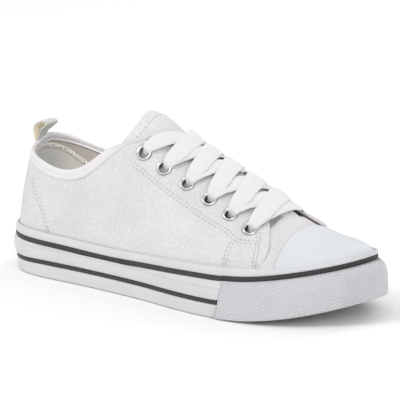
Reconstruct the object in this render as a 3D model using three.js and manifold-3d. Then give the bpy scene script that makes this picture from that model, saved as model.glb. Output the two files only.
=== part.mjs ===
// Low canvas sneaker for the right foot, built from its own last.
// Millimetres. X runs from heel to toe, -Y is the outer (lateral) side, +Z is up.
// The last is one function of two parameters. Upper, toe cap, tongue, eyelets and laces all follow it.
import * as THREE from 'three';
import { mergeVertices } from 'three/addons/utils/BufferGeometryUtils.js';
import Module from 'manifold-3d';

const wasm = await Module();
wasm.setup();

// ---- driving dimensions ----
const soleLength = 270;
const toeSpring = 13.7;            // rise of the bottom edge at the tip of the toe
const springStart = 180;           // the bottom is flat behind this place
const meetingGap = 0.3;
const wallThickness = 1.8;         // canvas with its lining
const capThickness = 1.4;
const capLift = 0.45;              // cap over the canvas
const footbedThickness = 3.5;
const heelFloor = 12;              // top of the outsole over the bottom edge
const foreFloor = 8.5;
const tongueThickness = 2.5;
const tongueClearance = 1.4;
const groundClearance = 0.4;       // the side wall stops just above the tread
const grooveDepth = 1.8;
const grooveWidth = 2.4;
const groovePitch = 9;
const archRelief = 1.2;
const archMiddle = 102;
const archLength = 30;
const treadStart = 14;
const treadEnd = 262;
const laceWidth = 8.5;
const laceThickness = 1.1;
const laceLift = 2.1;              // over the canvas, clear of the eyelets
const laceCrossing = 1;            // rise of the upper strand over the lower one
const eyeletFlange = 4.8;
const eyeletBore = 3;
const eyeletBarrel = 3.3;
const eyeletRoll = 1.1;            // height of the rolled rim over the canvas
const eyeletLip = 0.5;
const loopWidth = 11;
const loopThickness = 1.3;
const loopTilt = 2.4;              // its ends follow the collar, which is lower on the lateral side
const capBack = 217;             // the cap's rear edge at the top of the foot
const capFlare = 45;               // how far that arc has run forward at capReach
const capReach = 80;               // to each side of capCentre
const capCentre = -6;

// One row for each section of the last.
// x: place along the sole. centre: inward drift of the centre line.
// lateral, medial: half widths of the sole edge. inset: canvas wall in from that edge.
// stripe: height of the upper stripe over the bottom edge. lip: rim above the stripe.
// ridgeX, ridgeY, ridgeZ: where the section closes over the foot.
// rise: height of the side before it turns in. crown: fullness of the shoulder.
const sections = [
  { x: 0, centre: 0, lateral: 0, medial: 0, inset: 2.4, stripe: 24.8, lip: 5,
    ridgeX: 54, ridgeY: 0, ridgeZ: 128, rise: 9, crown: 0.72 },
  { x: 11, centre: 0, lateral: 23.5, medial: 22, inset: 2.6, stripe: 24.8, lip: 5,
    ridgeX: 54.5, ridgeY: 0, ridgeZ: 128, rise: 13.2, crown: 0.75 },
  { x: 28, centre: 0, lateral: 31.7, medial: 30, inset: 3, stripe: 24.6, lip: 5,
    ridgeX: 56, ridgeY: 0, ridgeZ: 128, rise: 20, crown: 0.84 },
  { x: 60, centre: 0, lateral: 34, medial: 31, inset: 3, stripe: 23.8, lip: 5,
    ridgeX: 64, ridgeY: 1, ridgeZ: 126, rise: 18, crown: 0.98 },
  { x: 105, centre: 0, lateral: 37.3, medial: 27.5, inset: 3, stripe: 23.2, lip: 5,
    ridgeX: 92, ridgeY: 2.5, ridgeZ: 117, rise: 14, crown: 0.93 },
  { x: 128, centre: 0, lateral: 40.2, medial: 29.2, inset: 3, stripe: 24.3, lip: 5,
    ridgeX: 111, ridgeY: 4, ridgeZ: 103.5, rise: 12.5, crown: 0.78 },
  { x: 145, centre: 0, lateral: 43.3, medial: 33, inset: 3, stripe: 25.3, lip: 5,
    ridgeX: 127.5, ridgeY: 5.5, ridgeZ: 92.3, rise: 11, crown: 0.64 },
  { x: 175, centre: 0.5, lateral: 47.4, medial: 41.5, inset: 3.4, stripe: 26.8, lip: 5,
    ridgeX: 161, ridgeY: 7.5, ridgeZ: 76.8, rise: 8, crown: 0.47 },
  { x: 205, centre: 2, lateral: 48, medial: 43.8, inset: 4.6, stripe: 27.3, lip: 4.8,
    ridgeX: 198, ridgeY: 9, ridgeZ: 58.6, rise: 6, crown: 0.36 },
  { x: 235, centre: 4.5, lateral: 40.4, medial: 38, inset: 6.6, stripe: 27, lip: 3,
    ridgeX: 229, ridgeY: 9, ridgeZ: 46.4, rise: 3.2, crown: 0.36 },
  { x: 255, centre: 7, lateral: 26.9, medial: 24.5, inset: 8.2, stripe: 25.8, lip: 2.7,
    ridgeX: 241, ridgeY: 9, ridgeZ: 45, rise: 2.4, crown: 0.56 },
  { x: 270, centre: 9, lateral: 0, medial: 0, inset: 8.6, stripe: 25, lip: 2.8,
    ridgeX: 244, ridgeY: 9, ridgeZ: 44.6, rise: 2.2, crown: 0.74 },
];

// Height of the collar's edge on each side, down to its dip and up to the top of the facings.
const collarRows = [
  { x: 14, lateral: 79.3, medial: 84.3 },
  { x: 20, lateral: 77.2, medial: 81.6 },
  { x: 35, lateral: 73.2, medial: 76.2 },
  { x: 50, lateral: 70.2, medial: 72.6 },
  { x: 63, lateral: 71.2, medial: 72.6 },
  { x: 72, lateral: 74.8, medial: 75.6 },
  { x: 81, lateral: 80.7, medial: 80.6 },
  { x: 91, lateral: 88, medial: 87.4 },
  { x: 101, lateral: 92.5, medial: 92 },
  { x: 112, lateral: 96, medial: 95.5 },
  { x: 130, lateral: 100, medial: 100 },
];

// The opening of the throat, and the eyelets beside it.
const throatRows = [
  { x: 95, half: 17 },
  { x: 115, half: 14 },
  { x: 130, half: 12.2 },
  { x: 155, half: 11.2 },
  { x: 185, half: 12.2 },
  { x: 203, half: 13.2 },
];
const throatStart = 85;
const throatEnd = 203;
const throatEndRadius = 11;
const throatFold = 45;             // the throat is cut only above this height

// Eyelets from the collar to the toe. inset: way down the canvas from the edge of the opening.
const lateralEyelets = [
  { x: 115.6, inset: 10 },
  { x: 130.1, inset: 18.4 },
  { x: 146.7, inset: 17.7 },
  { x: 163.6, inset: 18.4 },
  { x: 179.5, inset: 18.6 },
  { x: 194.5, inset: 17.7 },
];
const medialEyelets = [
  { x: 115.6, inset: 10 },
  { x: 130.1, inset: 15 },
  { x: 147, inset: 14 },
  { x: 164, inset: 13 },
  { x: 181, inset: 12 },
  { x: 196, inset: 11 },
];

// ---- small tools ----
const clamp01 = (value) => Math.min(1, Math.max(0, value));
const smooth = (value) => clamp01(value) ** 2 * (3 - 2 * clamp01(value));
const mix = (a, b, share) => a + (b - a) * share;

// Twice-smooth cubic through the values at the knots. Its slopes are settled by relaxation.
// A period closes it on itself; without one its ends are free.
function smoothThrough(knots, values, period = 0) {
  const count = knots.length;
  const spans = period ? count : count - 1;
  const span = (k) => (k === count - 1 ? knots[0] + period : knots[k + 1]) - knots[k];
  const rate = (k) => (values[(k + 1) % count] - values[k]) / span(k);
  const slopes = values.map(() => 0);
  for (let sweep = 0; sweep < 80; sweep += 1) {
    for (let k = 0; k < count; k += 1) {
      const before = (k + count - 1) % count;
      const after = (k + 1) % count;
      if (!period && k === 0) {
        slopes[k] = (3 * rate(0) - slopes[1]) / 2;
      } else if (!period && k === count - 1) {
        slopes[k] = (3 * rate(k - 1) - slopes[k - 1]) / 2;
      } else {
        const pull = 3 * (span(k) * rate(before) + span(before) * rate(k));
        const ends = span(k) * slopes[before] + span(before) * slopes[after];
        slopes[k] = (pull - ends) / (2 * (span(before) + span(k)));
      }
    }
  }
  return (place) => {
    const at = period ? ((place - knots[0]) % period + period) % period + knots[0] : place;
    let k = 0;
    while (k < spans - 1 && at > knots[k + 1]) {
      k += 1;
    }
    const width = span(k);
    const t = (at - knots[k]) / width;
    const end = (k + 1) % count;
    const rise = values[end] - values[k];
    const bendStart = slopes[k] * width - rise;
    const bendEnd = rise - slopes[end] * width;
    return values[k] + rise * t + t * (1 - t) * (bendStart * (1 - t) + bendEnd * t);
  };
}

// ---- the last ----
// u runs once round the shoe: 0 at the heel, 1 at the toe along the lateral side, 2 back at the heel.
const stationOf = (x) => Math.acos(1 - 2 * x / soleLength) / Math.PI;
const innerRows = sections.slice(1, -1).reverse();
const loopRows = [...sections, ...innerRows];
const loopKnots = [
  ...sections.map((row) => stationOf(row.x)),
  ...innerRows.map((row) => 2 - stationOf(row.x)),
];
const isMedial = (k) => k >= sections.length;
const column = (pick) => smoothThrough(loopKnots, loopRows.map(pick), 2);
const edgeY = column((row, k) => (isMedial(k) ? row.centre + row.medial : row.centre - row.lateral));
const insetAt = column((row) => row.inset);
const stripeAt = column((row) => row.stripe);
const lipAt = column((row) => row.lip);
const ridgeXAt = column((row) => row.ridgeX);
const ridgeYAt = column((row) => row.ridgeY);
const ridgeZAt = column((row) => row.ridgeZ);
const riseAt = column((row) => row.rise);
const crownAt = column((row) => row.crown);
const edgeX = (u) => soleLength * (1 - Math.cos(Math.PI * u)) / 2;

const springAt = (x) => toeSpring * clamp01((x - springStart) / (soleLength - springStart)) ** 2;
const floorAt = (x) => springAt(x) + mix(heelFloor, foreFloor, smooth((x - 60) / 100));

// The sole edge, moved inwards along its own normal.
function edgePoint(u, inset) {
  const step = 1e-3;
  const alongX = edgeX(u + step) - edgeX(u - step);
  const alongY = edgeY(u + step) - edgeY(u - step);
  const length = Math.hypot(alongX, alongY);
  return { x: edgeX(u) - inset * alongY / length, y: edgeY(u) + inset * alongX / length };
}

// v below 0 is the upright part behind the side wall, v from 0 to 1 is a cubic arc up to the ridge.
function lastPoint(u, v) {
  const foot = edgePoint(u, insetAt(u));
  const spring = springAt(foot.x);
  const low = floorAt(foot.x) + meetingGap;
  const start = spring + stripeAt(u);
  if (v < 0) {
    return new THREE.Vector3(foot.x, foot.y, mix(start, low, -v));
  }
  const crown = crownAt(u);
  const ridge = new THREE.Vector3(ridgeXAt(u), ridgeYAt(u), ridgeZAt(u));
  const points = [
    new THREE.Vector3(foot.x, foot.y, start),
    new THREE.Vector3(foot.x, foot.y, start + riseAt(u)),
    new THREE.Vector3(mix(ridge.x, foot.x, crown), mix(ridge.y, foot.y, crown), ridge.z),
    ridge,
  ];
  return new THREE.CubicBezierCurve3(...points).getPoint(Math.min(v, 1));
}

// Outward normal: across the two directions of the surface.
function lastNormal(u, v) {
  const step = 2e-3;
  const top = Math.min(v, 1 - 2 * step);
  const along = lastPoint(u + step, top).sub(lastPoint(u - step, top));
  const upwards = lastPoint(u, top + step).sub(lastPoint(u, top - step));
  return along.cross(upwards).normalize();
}

// Both sides meet on the ridge, so the normal there is the mean of the two.
function offsetPoint(u, v, offset) {
  const normal = lastNormal(u, v);
  if (v > 0.999) {
    normal.add(lastNormal(2 - u, v)).normalize();
  }
  return lastPoint(u, v).addScaledVector(normal, offset);
}

// ---- the edge of the opening ----
const rimLateral = smoothThrough(collarRows.map((row) => row.x), collarRows.map((row) => row.lateral));
const rimMedial = smoothThrough(collarRows.map((row) => row.x), collarRows.map((row) => row.medial));
const throatHalf = smoothThrough(throatRows.map((row) => row.x), throatRows.map((row) => row.half));
const throatCentre = (x) => mix(3, 8, smooth((x - 90) / 120));

function rimHeight(point) {
  const x = Math.max(point.x, collarRows[0].x);
  return mix(rimLateral(x), rimMedial(x), smooth((point.y + 8) / 16));
}

function isOpen(point) {
  const overRim = point.x < collarRows.at(-1).x && point.z > rimHeight(point);
  const endShare = clamp01((point.x - throatEnd + throatEndRadius) / throatEndRadius);
  const half = throatHalf(Math.max(point.x, throatRows[0].x)) * Math.sqrt(1 - endShare ** 2);
  const alongThroat = point.x > throatStart && point.x < throatEnd && point.z > throatFold;
  const inThroat = alongThroat && Math.abs(point.y - throatCentre(point.x)) < half;
  return overRim || inThroat;
}

// v where the canvas ends, found by halving.
function openingV(u) {
  if (!isOpen(lastPoint(u, 1))) {
    return 1;
  }
  let closed = 0;
  let open = 1;
  for (let k = 0; k < 30; k += 1) {
    const middle = (closed + open) / 2;
    if (isOpen(lastPoint(u, middle))) {
      open = middle;
    } else {
      closed = middle;
    }
  }
  return closed;
}

// ---- meshes and solids ----
function geometryOf(points, triangles) {
  const geometry = new THREE.BufferGeometry();
  const numbers = points.flatMap((point) => [point.x, point.y, point.z]);
  geometry.setAttribute('position', new THREE.Float32BufferAttribute(numbers, 3));
  geometry.setIndex(triangles);
  return geometry;
}

function manifoldOf(geometry) {
  const bare = geometry.clone();
  bare.deleteAttribute('normal');
  bare.deleteAttribute('uv');
  const merged = mergeVertices(bare, 1e-4);
  const index = merged.index.array;
  const triangles = [];
  for (let k = 0; k < index.length; k += 3) {
    const [a, b, c] = [index[k], index[k + 1], index[k + 2]];
    if (a !== b && b !== c && c !== a) {
      triangles.push(a, b, c);
    }
  }
  return new wasm.Manifold(new wasm.Mesh({
    numProp: 3,
    vertProperties: new Float32Array(merged.attributes.position.array),
    triVerts: new Uint32Array(triangles),
  }));
}

function geometryFrom(solid) {
  const mesh = solid.getMesh();
  const geometry = new THREE.BufferGeometry();
  geometry.setAttribute('position', new THREE.BufferAttribute(mesh.vertProperties, 3));
  geometry.setIndex(Array.from(mesh.triVerts));
  return geometry;
}

// Triangles of a grid of points held row after row.
function gridTriangles(rows, columns, first, flip) {
  const triangles = [];
  for (let i = 0; i < rows - 1; i += 1) {
    for (let j = 0; j < columns - 1; j += 1) {
      const a = first + i * columns + j;
      const b = a + columns;
      const faces = [[a, b, b + 1], [a, b + 1, a + 1]];
      faces.forEach(([p, q, r]) => triangles.push(...(flip ? [p, r, q] : [p, q, r])));
    }
  }
  return triangles;
}

// A closed section carried along stations: rings[i] is a list of points, all of one length.
function sweepRings(rings, closed) {
  const size = rings[0].length;
  const loops = closed ? [...rings, rings[0]] : rings;
  const looped = loops.map((ring) => [...ring, ring[0]]);
  const points = looped.flat();
  const triangles = gridTriangles(looped.length, size + 1, 0, false);
  if (!closed) {
    const last = (looped.length - 1) * (size + 1);
    for (let k = 1; k < size - 1; k += 1) {
      triangles.push(0, k, k + 1);
      triangles.push(last, last + k + 1, last + k);
    }
  }
  return geometryOf(points, triangles);
}

// Every piece that follows the sole edge uses the same stations, so that neighbours keep their gap.
const stations = 72;
const stationLoop = Array.from({ length: stations }, (_, k) => 2 * k / stations);

// The whole last as a closed form, grown by an offset and carried down by a drop.
function lastForm(offset, drop, steps = 7) {
  const rows = [...stationLoop, 2].map((u) => {
    const foot = offsetPoint(u, -1, offset);
    const levels = Array.from({ length: steps + 1 }, (_, k) => offsetPoint(u, k / steps, offset));
    return [foot.clone().setZ(foot.z - drop), ...levels];
  });
  const columns = rows[0].length;
  const points = rows.flat();
  const triangles = gridTriangles(rows.length, columns, 0, false);
  for (let k = 0; k < stations / 2; k += 1) {
    const [a, b] = [k, k + 1].map((row) => row * columns);
    const [c, d] = [stations - k, stations - k - 1].map((row) => row * columns);
    triangles.push(a, c, d, a, d, b);
  }
  return manifoldOf(geometryOf(points, triangles));
}

// Hollow canvas upper: outer and inner skins up to the edge of the opening, joined by rims.
function upperShell() {
  const steps = 7;
  const outerRows = [];
  const liningRows = [];
  [...stationLoop, 2].forEach((u) => {
    const top = openingV(u);
    const levels = [-1, ...Array.from({ length: steps + 1 }, (_, k) => top * k / steps)];
    outerRows.push(levels.map((v) => offsetPoint(u, v, 0)));
    liningRows.push(levels.map((v) => offsetPoint(u, v, -wallThickness)));
  });
  const columns = outerRows[0].length;
  const points = [...outerRows.flat(), ...liningRows.flat()];
  const shift = outerRows.length * columns;
  const triangles = [
    ...gridTriangles(outerRows.length, columns, 0, false),
    ...gridTriangles(outerRows.length, columns, shift, true),
  ];
  for (let i = 0; i < stations; i += 1) {
    const [low, nextLow] = [i * columns, (i + 1) * columns];
    const [high, nextHigh] = [low + columns - 1, nextLow + columns - 1];
    triangles.push(low, shift + low, shift + nextLow, low, shift + nextLow, nextLow);
    const isWelded = openingV(2 * i / stations) === 1 && openingV(2 * (i + 1) / stations) === 1;
    if (!isWelded) {
      triangles.push(high, nextHigh, shift + nextHigh, high, shift + nextHigh, shift + high);
    }
  }
  return manifoldOf(geometryOf(points, triangles));
}

// ---- eyelets ----
// The last as one sheet across its ridge: w runs from -1 on the lateral side to 1 on the medial side.
const onSheet = (s, w) => ({ u: w < 0 ? s : 2 - s, v: 1 - Math.abs(w) });
const pointAt = (spot) => lastPoint(spot.u, spot.v);

// The spot a given way down the canvas from the edge of the throat, at a given place along the shoe.
function spotBelowEdge(side, x, inset) {
  const below = (s) => {
    const step = 0.004;
    let w = side * (1 - openingV(onSheet(s, side).u));
    let walked = 0;
    while (walked < inset) {
      const before = pointAt(onSheet(s, w));
      w += side * step;
      walked += before.distanceTo(pointAt(onSheet(s, w)));
    }
    return w;
  };
  let back = 0.35;
  let front = 0.8;
  for (let k = 0; k < 26; k += 1) {
    const middle = (back + front) / 2;
    if (pointAt(onSheet(middle, below(middle))).x < x) {
      back = middle;
    } else {
      front = middle;
    }
  }
  return { s: back, w: below(back), ...onSheet(back, below(back)) };
}

const eyeletSpots = [
  lateralEyelets.map((row) => spotBelowEdge(-1, row.x, row.inset)),
  medialEyelets.map((row) => spotBelowEdge(1, row.x, row.inset)),
];

function eyeletGeometry() {
  const profile = [
    [eyeletBore, -wallThickness],
    [eyeletBarrel, -wallThickness],
    [eyeletBarrel, meetingGap],
    [eyeletFlange, meetingGap],
    [eyeletFlange - 0.8, eyeletRoll],
    [eyeletBore, eyeletLip],
    [eyeletBore, -wallThickness],
  ].map(([radius, height]) => new THREE.Vector2(radius, height));
  return new THREE.LatheGeometry(profile, 10).rotateX(Math.PI / 2);
}

function placeOnLast(object, spot) {
  const normal = lastNormal(spot.u, spot.v);
  object.position.copy(lastPoint(spot.u, spot.v));
  object.quaternion.setFromUnitVectors(new THREE.Vector3(0, 0, 1), normal);
  return object;
}

// ---- laces ----
// Spots on the last under the straight line between two eyelets, seen along their mean normal.
function routeBetween(near, far, steps) {
  const from = pointAt(near);
  const chord = pointAt(far).sub(from);
  const facing = lastNormal(near.u, near.v).add(lastNormal(far.u, far.v)).normalize();
  const aside = chord.clone().cross(facing).normalize();
  const ahead = chord.clone().normalize();
  const miss = (s, w, target) => {
    const gap = pointAt(onSheet(s, w)).sub(target);
    return [gap.dot(ahead), gap.dot(aside)];
  };
  const nudge = 1e-4;
  let [s, w] = [near.s, near.w];
  return Array.from({ length: steps + 1 }, (_, k) => {
    const target = from.clone().addScaledVector(chord, k / steps);
    for (let turn = 0; turn < 8; turn += 1) {
      const [a, b] = miss(s, w, target);
      const [aS, bS] = miss(s + nudge, w, target).map((value, i) => (value - [a, b][i]) / nudge);
      const [aW, bW] = miss(s, w + nudge, target).map((value, i) => (value - [a, b][i]) / nudge);
      const scale = aS * bW - aW * bS;
      s -= (a * bW - b * aW) / scale;
      w -= (b * aS - a * bS) / scale;
    }
    return onSheet(s, w);
  });
}

// A flat strand from one eyelet to another, lifted off the last by a height.
function strand(near, far, lift, steps = 8) {
  const route = routeBetween(near, far, steps);
  const centres = route.map((spot, k) => offsetPoint(spot.u, spot.v, lift(k / steps)));
  const rings = route.map((spot, k) => {
    const along = centres[Math.min(k + 1, steps)].clone().sub(centres[Math.max(k - 1, 0)]).normalize();
    const across = lastNormal(spot.u, spot.v).cross(along).normalize();
    const normal = along.clone().cross(across);
    return [[-1, 0], [-1, 1], [1, 1], [1, 0]].map(([side, top]) => (
      centres[k].clone()
        .addScaledVector(across, side * laceWidth / 2)
        .addScaledVector(normal, top * laceThickness)
    ));
  });
  return manifoldOf(sweepRings(rings, false));
}

function laces() {
  const [near, far] = eyeletSpots;
  const under = () => laceLift;
  const over = (q) => laceLift + laceCrossing * Math.sin(Math.PI * q) ** 2;
  const last = near.length - 1;
  const strands = [strand(near[last], far[last], under)];
  for (let k = 0; k < last; k += 1) {
    strands.push(strand(near[k], far[k + 1], under));
    strands.push(strand(near[k + 1], far[k], over));
  }
  const joined = strands.reduce((sum, piece) => sum.add(piece));
  // small pockets trapped between strands are filled, by keeping the outer skin alone
  return joined.decompose().sort((a, b) => b.volume() - a.volume())[0];
}

// ---- tongue ----
function tongue() {
  const across = 10;
  const alongSteps = 13;
  const outer = -(wallThickness + tongueClearance);
  const tip = 0.457;
  const base = 0.79;
  const rows = Array.from({ length: across + 1 }, (_, j) => {
    const b = mix(-1, 1, j / across);
    return Array.from({ length: alongSteps + 1 }, (__, i) => {
      const a = i / alongSteps;
      const s = mix(tip - 0.047 * b ** 2, base, a);
      const side = mix(0.6, 0.7, a);
      const v = 1 - Math.abs(b) * (1 - side);
      return [b <= 0 ? s : 2 - s, v];
    });
  });
  const columns = alongSteps + 1;
  const skin = (offset) => rows.flat().map(([u, v]) => offsetPoint(u, v, offset));
  const points = [...skin(outer), ...skin(outer - tongueThickness)];
  const shift = rows.length * columns;
  const triangles = [
    ...gridTriangles(rows.length, columns, 0, true),
    ...gridTriangles(rows.length, columns, shift, false),
  ];
  const border = [];
  for (let i = 0; i < columns - 1; i += 1) {
    border.push(i);
  }
  for (let j = 0; j < rows.length - 1; j += 1) {
    border.push(j * columns + columns - 1);
  }
  for (let i = columns - 1; i > 0; i -= 1) {
    border.push((rows.length - 1) * columns + i);
  }
  for (let j = rows.length - 1; j > 0; j -= 1) {
    border.push(j * columns);
  }
  border.forEach((a, k) => {
    const b = border[(k + 1) % border.length];
    triangles.push(a, shift + a, shift + b, a, shift + b, b);
  });
  return manifoldOf(geometryOf(points, triangles));
}

// ---- sole pieces ----
const bumperStart = 187;
const bumperDrop = 3;              // its top edge under the top of the stripe
const bumperAt = (x) => mix(1.2, 5.2, smooth((x - 200) / 70));
const capRoom = (x) => (capThickness + capLift) * smooth((x - 208) / 8);
const wallInner = (u) => insetAt(u) - meetingGap - capRoom(edgeX(u));

// Side wall: lower band, bulged upper band, stripe bed and rounded lip.
function sideWall() {
  const bands = [
    { share: 0, rim: 0, inset: 1.8 },
    { share: 0.05, rim: 0, inset: 1.0 },
    { share: 0.32, rim: 0, inset: 0.9 },
    { share: 0.42, rim: 0, inset: 0.2 },
    { share: 0.75, rim: 0, inset: 0 },
    { share: 1, rim: 0, inset: 0.6 },
    { share: 1, rim: 0.5, inset: 0.6 },
    { share: 1, rim: 0.85, inset: 1.1 },
    { share: 1, rim: 1, inset: 1.9 },
  ];
  const rings = stationLoop.map((u) => {
    const x = edgeX(u);
    const bottom = springAt(x) + groundClearance;
    const recess = x >= bumperStart ? bumperAt(x) + meetingGap : 0;
    const level = (share, rim) => bottom + (stripeAt(u) - groundClearance) * share + lipAt(u) * rim;
    const outer = bands.map((band) => {
      const inset = Math.max(band.inset, recess);
      const spot = edgePoint(u, Math.min(inset + (band.rim === 1 ? 0.4 : 0), wallInner(u) - 0.8));
      return new THREE.Vector3(spot.x, spot.y, level(band.share, band.rim));
    });
    const back = edgePoint(u, wallInner(u));
    const inner = [
      new THREE.Vector3(back.x, back.y, level(1, 0.9)),
      new THREE.Vector3(back.x, back.y, bottom),
    ];
    return [...outer, ...inner];
  });
  return manifoldOf(sweepRings(rings, true));
}

function toeBumper() {
  const bands = [
    { share: 0, depth: 0.15 },
    { share: 0.06, depth: 0 },
    { share: 0.5, depth: 0 },
    { share: 0.75, depth: 0.16 },
    { share: 0.92, depth: 0.5 },
    { share: 1, depth: 0.85 },
  ];
  const rings = stationLoop.filter((u) => edgeX(u) >= bumperStart).map((u) => {
    const x = edgeX(u);
    const bottom = springAt(x) + groundClearance;
    const height = stripeAt(u) - bumperDrop - groundClearance;
    const thick = bumperAt(x);
    const outer = bands.map((band) => {
      const spot = edgePoint(u, thick * band.depth);
      return new THREE.Vector3(spot.x, spot.y, bottom + height * band.share);
    });
    const back = edgePoint(u, thick);
    const inner = [
      new THREE.Vector3(back.x, back.y, bottom + height),
      new THREE.Vector3(back.x, back.y, bottom),
    ];
    return [...outer, ...inner];
  });
  return manifoldOf(sweepRings(rings, false));
}

// A plate that fills the loop of the sole edge, between two heights that follow the shoe.
function plate(inset, bottomAt, topAt) {
  const rings = stationLoop.filter((u) => u <= 1).map((u) => {
    const lateral = edgePoint(u, inset(u));
    const medial = edgePoint(2 - u, inset(2 - u));
    const spots = [0, 0.5, 1].map((share) => (
      { x: mix(lateral.x, medial.x, share), y: mix(lateral.y, medial.y, share) }
    ));
    const low = spots.map((spot) => new THREE.Vector3(spot.x, spot.y, bottomAt(spot.x)));
    const high = spots.map((spot) => new THREE.Vector3(spot.x, spot.y, topAt(spot.x)));
    return [...high, ...low.reverse()];
  });
  return manifoldOf(sweepRings(rings, false));
}

function footbed() {
  const bottomAt = (x) => floorAt(x) + meetingGap;
  return plate(
    (u) => insetAt(u) + wallThickness + meetingGap,
    bottomAt,
    (x) => bottomAt(x) + footbedThickness,
  );
}

// A cutter that lies across the sole and follows its spring.
function bar(width, depth, x) {
  const slope = Math.atan((springAt(x + 1) - springAt(x - 1)) / 2);
  const geometry = new THREE.BoxGeometry(width, 140, 2 * depth);
  geometry.rotateY(-slope);
  geometry.translate(x, 0, springAt(x));
  return manifoldOf(geometry);
}

function outsole() {
  let slab = plate((u) => wallInner(u) + meetingGap, springAt, floorAt);
  for (let x = treadStart; x < treadEnd; x += groovePitch) {
    const underArch = Math.abs(x - archMiddle) < archLength / 2 + grooveWidth + 2;
    if (!underArch) {
      slab = slab.subtract(bar(grooveWidth, grooveDepth, x));
    }
  }
  return slab.subtract(bar(archLength, archRelief, archMiddle));
}

// ---- toe cap ----
// The rubber between two forms of the last, cut along an arc across the toe.
function toeCap() {
  const outline = new THREE.Shape();
  const [left, right] = [capCentre + capReach, capCentre - capReach];
  const front = soleLength + capReach;
  outline.moveTo(front, right);
  outline.lineTo(front, left);
  outline.lineTo(capBack + capFlare, left);
  outline.quadraticCurveTo(capBack - capFlare, capCentre, capBack + capFlare, right);
  const cutter = new THREE.ExtrudeGeometry(outline, { depth: 80, bevelEnabled: false, curveSegments: 16 });
  const skin = lastForm(capLift + capThickness, -0.8).subtract(lastForm(capLift, 6));
  return skin.intersect(manifoldOf(cutter));
}

// ---- pull loop ----
// Webbing that rises from the back of the collar, leans over the opening and returns to the collar.
function pullLoop() {
  const rows = [
    { x: 14.6, z: 83 },
    { x: 12.9, z: 84.3 },
    { x: 12.1, z: 86.5 },
    { x: 12.9, z: 89.2 },
    { x: 15.8, z: 91.7 },
    { x: 20, z: 93 },
    { x: 23.2, z: 92.6 },
    { x: 23.9, z: 90.2 },
    { x: 22.6, z: 87 },
    { x: 20.3, z: 84.5 },
    { x: 17.8, z: 83 },
  ];
  const path = new THREE.CatmullRomCurve3(rows.map((row) => new THREE.Vector3(row.x, 0, row.z)));
  const count = 20;
  const rings = Array.from({ length: count + 1 }, (_, k) => {
    const point = path.getPointAt(k / count);
    const along = path.getTangentAt(k / count);
    const normal = new THREE.Vector3(-along.z, 0, along.x);
    const tilt = loopTilt * smooth((88 - point.z) / 5);
    return [[-1, -1], [-1, 1], [1, 1], [1, -1]].map(([side, face]) => (
      point.clone()
        .addScaledVector(normal, face * loopThickness / 2)
        .add(new THREE.Vector3(0, side * loopWidth / 2, side * tilt))
    ));
  });
  return manifoldOf(sweepRings(rings, false));
}

// ---- assembly ----
function finish(color, roughness, metalness = 0) {
  return new THREE.MeshStandardMaterial({ color, roughness, metalness, flatShading: true });
}

function named(name, solid, material) {
  const mesh = new THREE.Mesh(geometryFrom(solid), material);
  mesh.name = name;
  return mesh;
}

function pierced(solid) {
  const radius = eyeletBarrel + meetingGap;
  const bore = new THREE.CylinderGeometry(radius, radius, 10, 10).rotateX(Math.PI / 2);
  return eyeletSpots.flat().reduce((shell, spot) => {
    const drill = placeOnLast(new THREE.Mesh(bore), spot);
    drill.updateMatrixWorld(true);
    return shell.subtract(manifoldOf(bore.clone().applyMatrix4(drill.matrixWorld)));
  }, solid);
}

const canvas = finish(0xe9e6e3, 0.9);
const shoe = new THREE.Group();
shoe.add(
  named('outsole', outsole(), finish(0xe8e8e6, 0.6)),
  named('foxing', sideWall(), finish(0xf0f0f0, 0.45)),
  named('toe_bumper', toeBumper(), finish(0xececee, 0.5)),
  named('insole', footbed(), finish(0xc9c8c2, 0.9)),
  named('upper', pierced(upperShell()), canvas),
  named('toe_cap', toeCap(), finish(0xeef0f2, 0.35)),
  named('tongue', tongue(), canvas),
  named('laces', laces(), finish(0xf4f4f5, 0.8)),
  named('pull_loop', pullLoop(), finish(0xe6e0d2, 0.85)),
);
['lateral', 'medial'].forEach((sideName, side) => {
  eyeletSpots[side].forEach((spot, k) => {
    const eyelet = new THREE.Mesh(eyeletGeometry(), finish(0xd5d5d8, 0.2, 1));
    eyelet.name = `eyelet_${sideName}_${k + 1}`;
    shoe.add(placeOnLast(eyelet, spot));
  });
});

const box = new THREE.Box3().setFromObject(shoe);
shoe.position.set(-(box.min.x + box.max.x) / 2, -(box.min.y + box.max.y) / 2, -box.min.z);

export default shoe;
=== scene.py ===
# Looks for the low canvas sneaker: cloth, rubber, laces, eyelets, stitches, light and camera.
# Shapes are worked out in the shoe's own millimetres, with the heel at x = 0 and the outer side at -y,
# and put into the frame in metres.
import math

import bmesh
import bpy
import numpy as np
from mathutils import Matrix, Vector


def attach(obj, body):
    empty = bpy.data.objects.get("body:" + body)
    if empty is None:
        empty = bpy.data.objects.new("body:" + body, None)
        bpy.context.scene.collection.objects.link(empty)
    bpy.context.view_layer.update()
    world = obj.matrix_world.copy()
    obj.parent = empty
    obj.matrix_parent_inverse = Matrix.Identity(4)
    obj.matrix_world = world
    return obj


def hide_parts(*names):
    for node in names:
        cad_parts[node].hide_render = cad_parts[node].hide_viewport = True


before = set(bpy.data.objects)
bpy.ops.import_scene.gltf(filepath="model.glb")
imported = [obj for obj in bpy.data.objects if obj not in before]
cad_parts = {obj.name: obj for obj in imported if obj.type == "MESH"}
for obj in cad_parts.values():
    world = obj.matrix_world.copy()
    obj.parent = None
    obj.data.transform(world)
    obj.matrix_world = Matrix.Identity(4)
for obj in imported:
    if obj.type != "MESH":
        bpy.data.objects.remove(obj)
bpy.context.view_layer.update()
mm = 0.001

# The last: lengths and heights in millimetres.
last = {
    "length": 270, "toeSpring": 13.7, "springStart": 180, "heelFloor": 12, "foreFloor": 8.5,
    "throatStart": 85, "throatFold": 45, "wall": 1.8,
}
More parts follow.
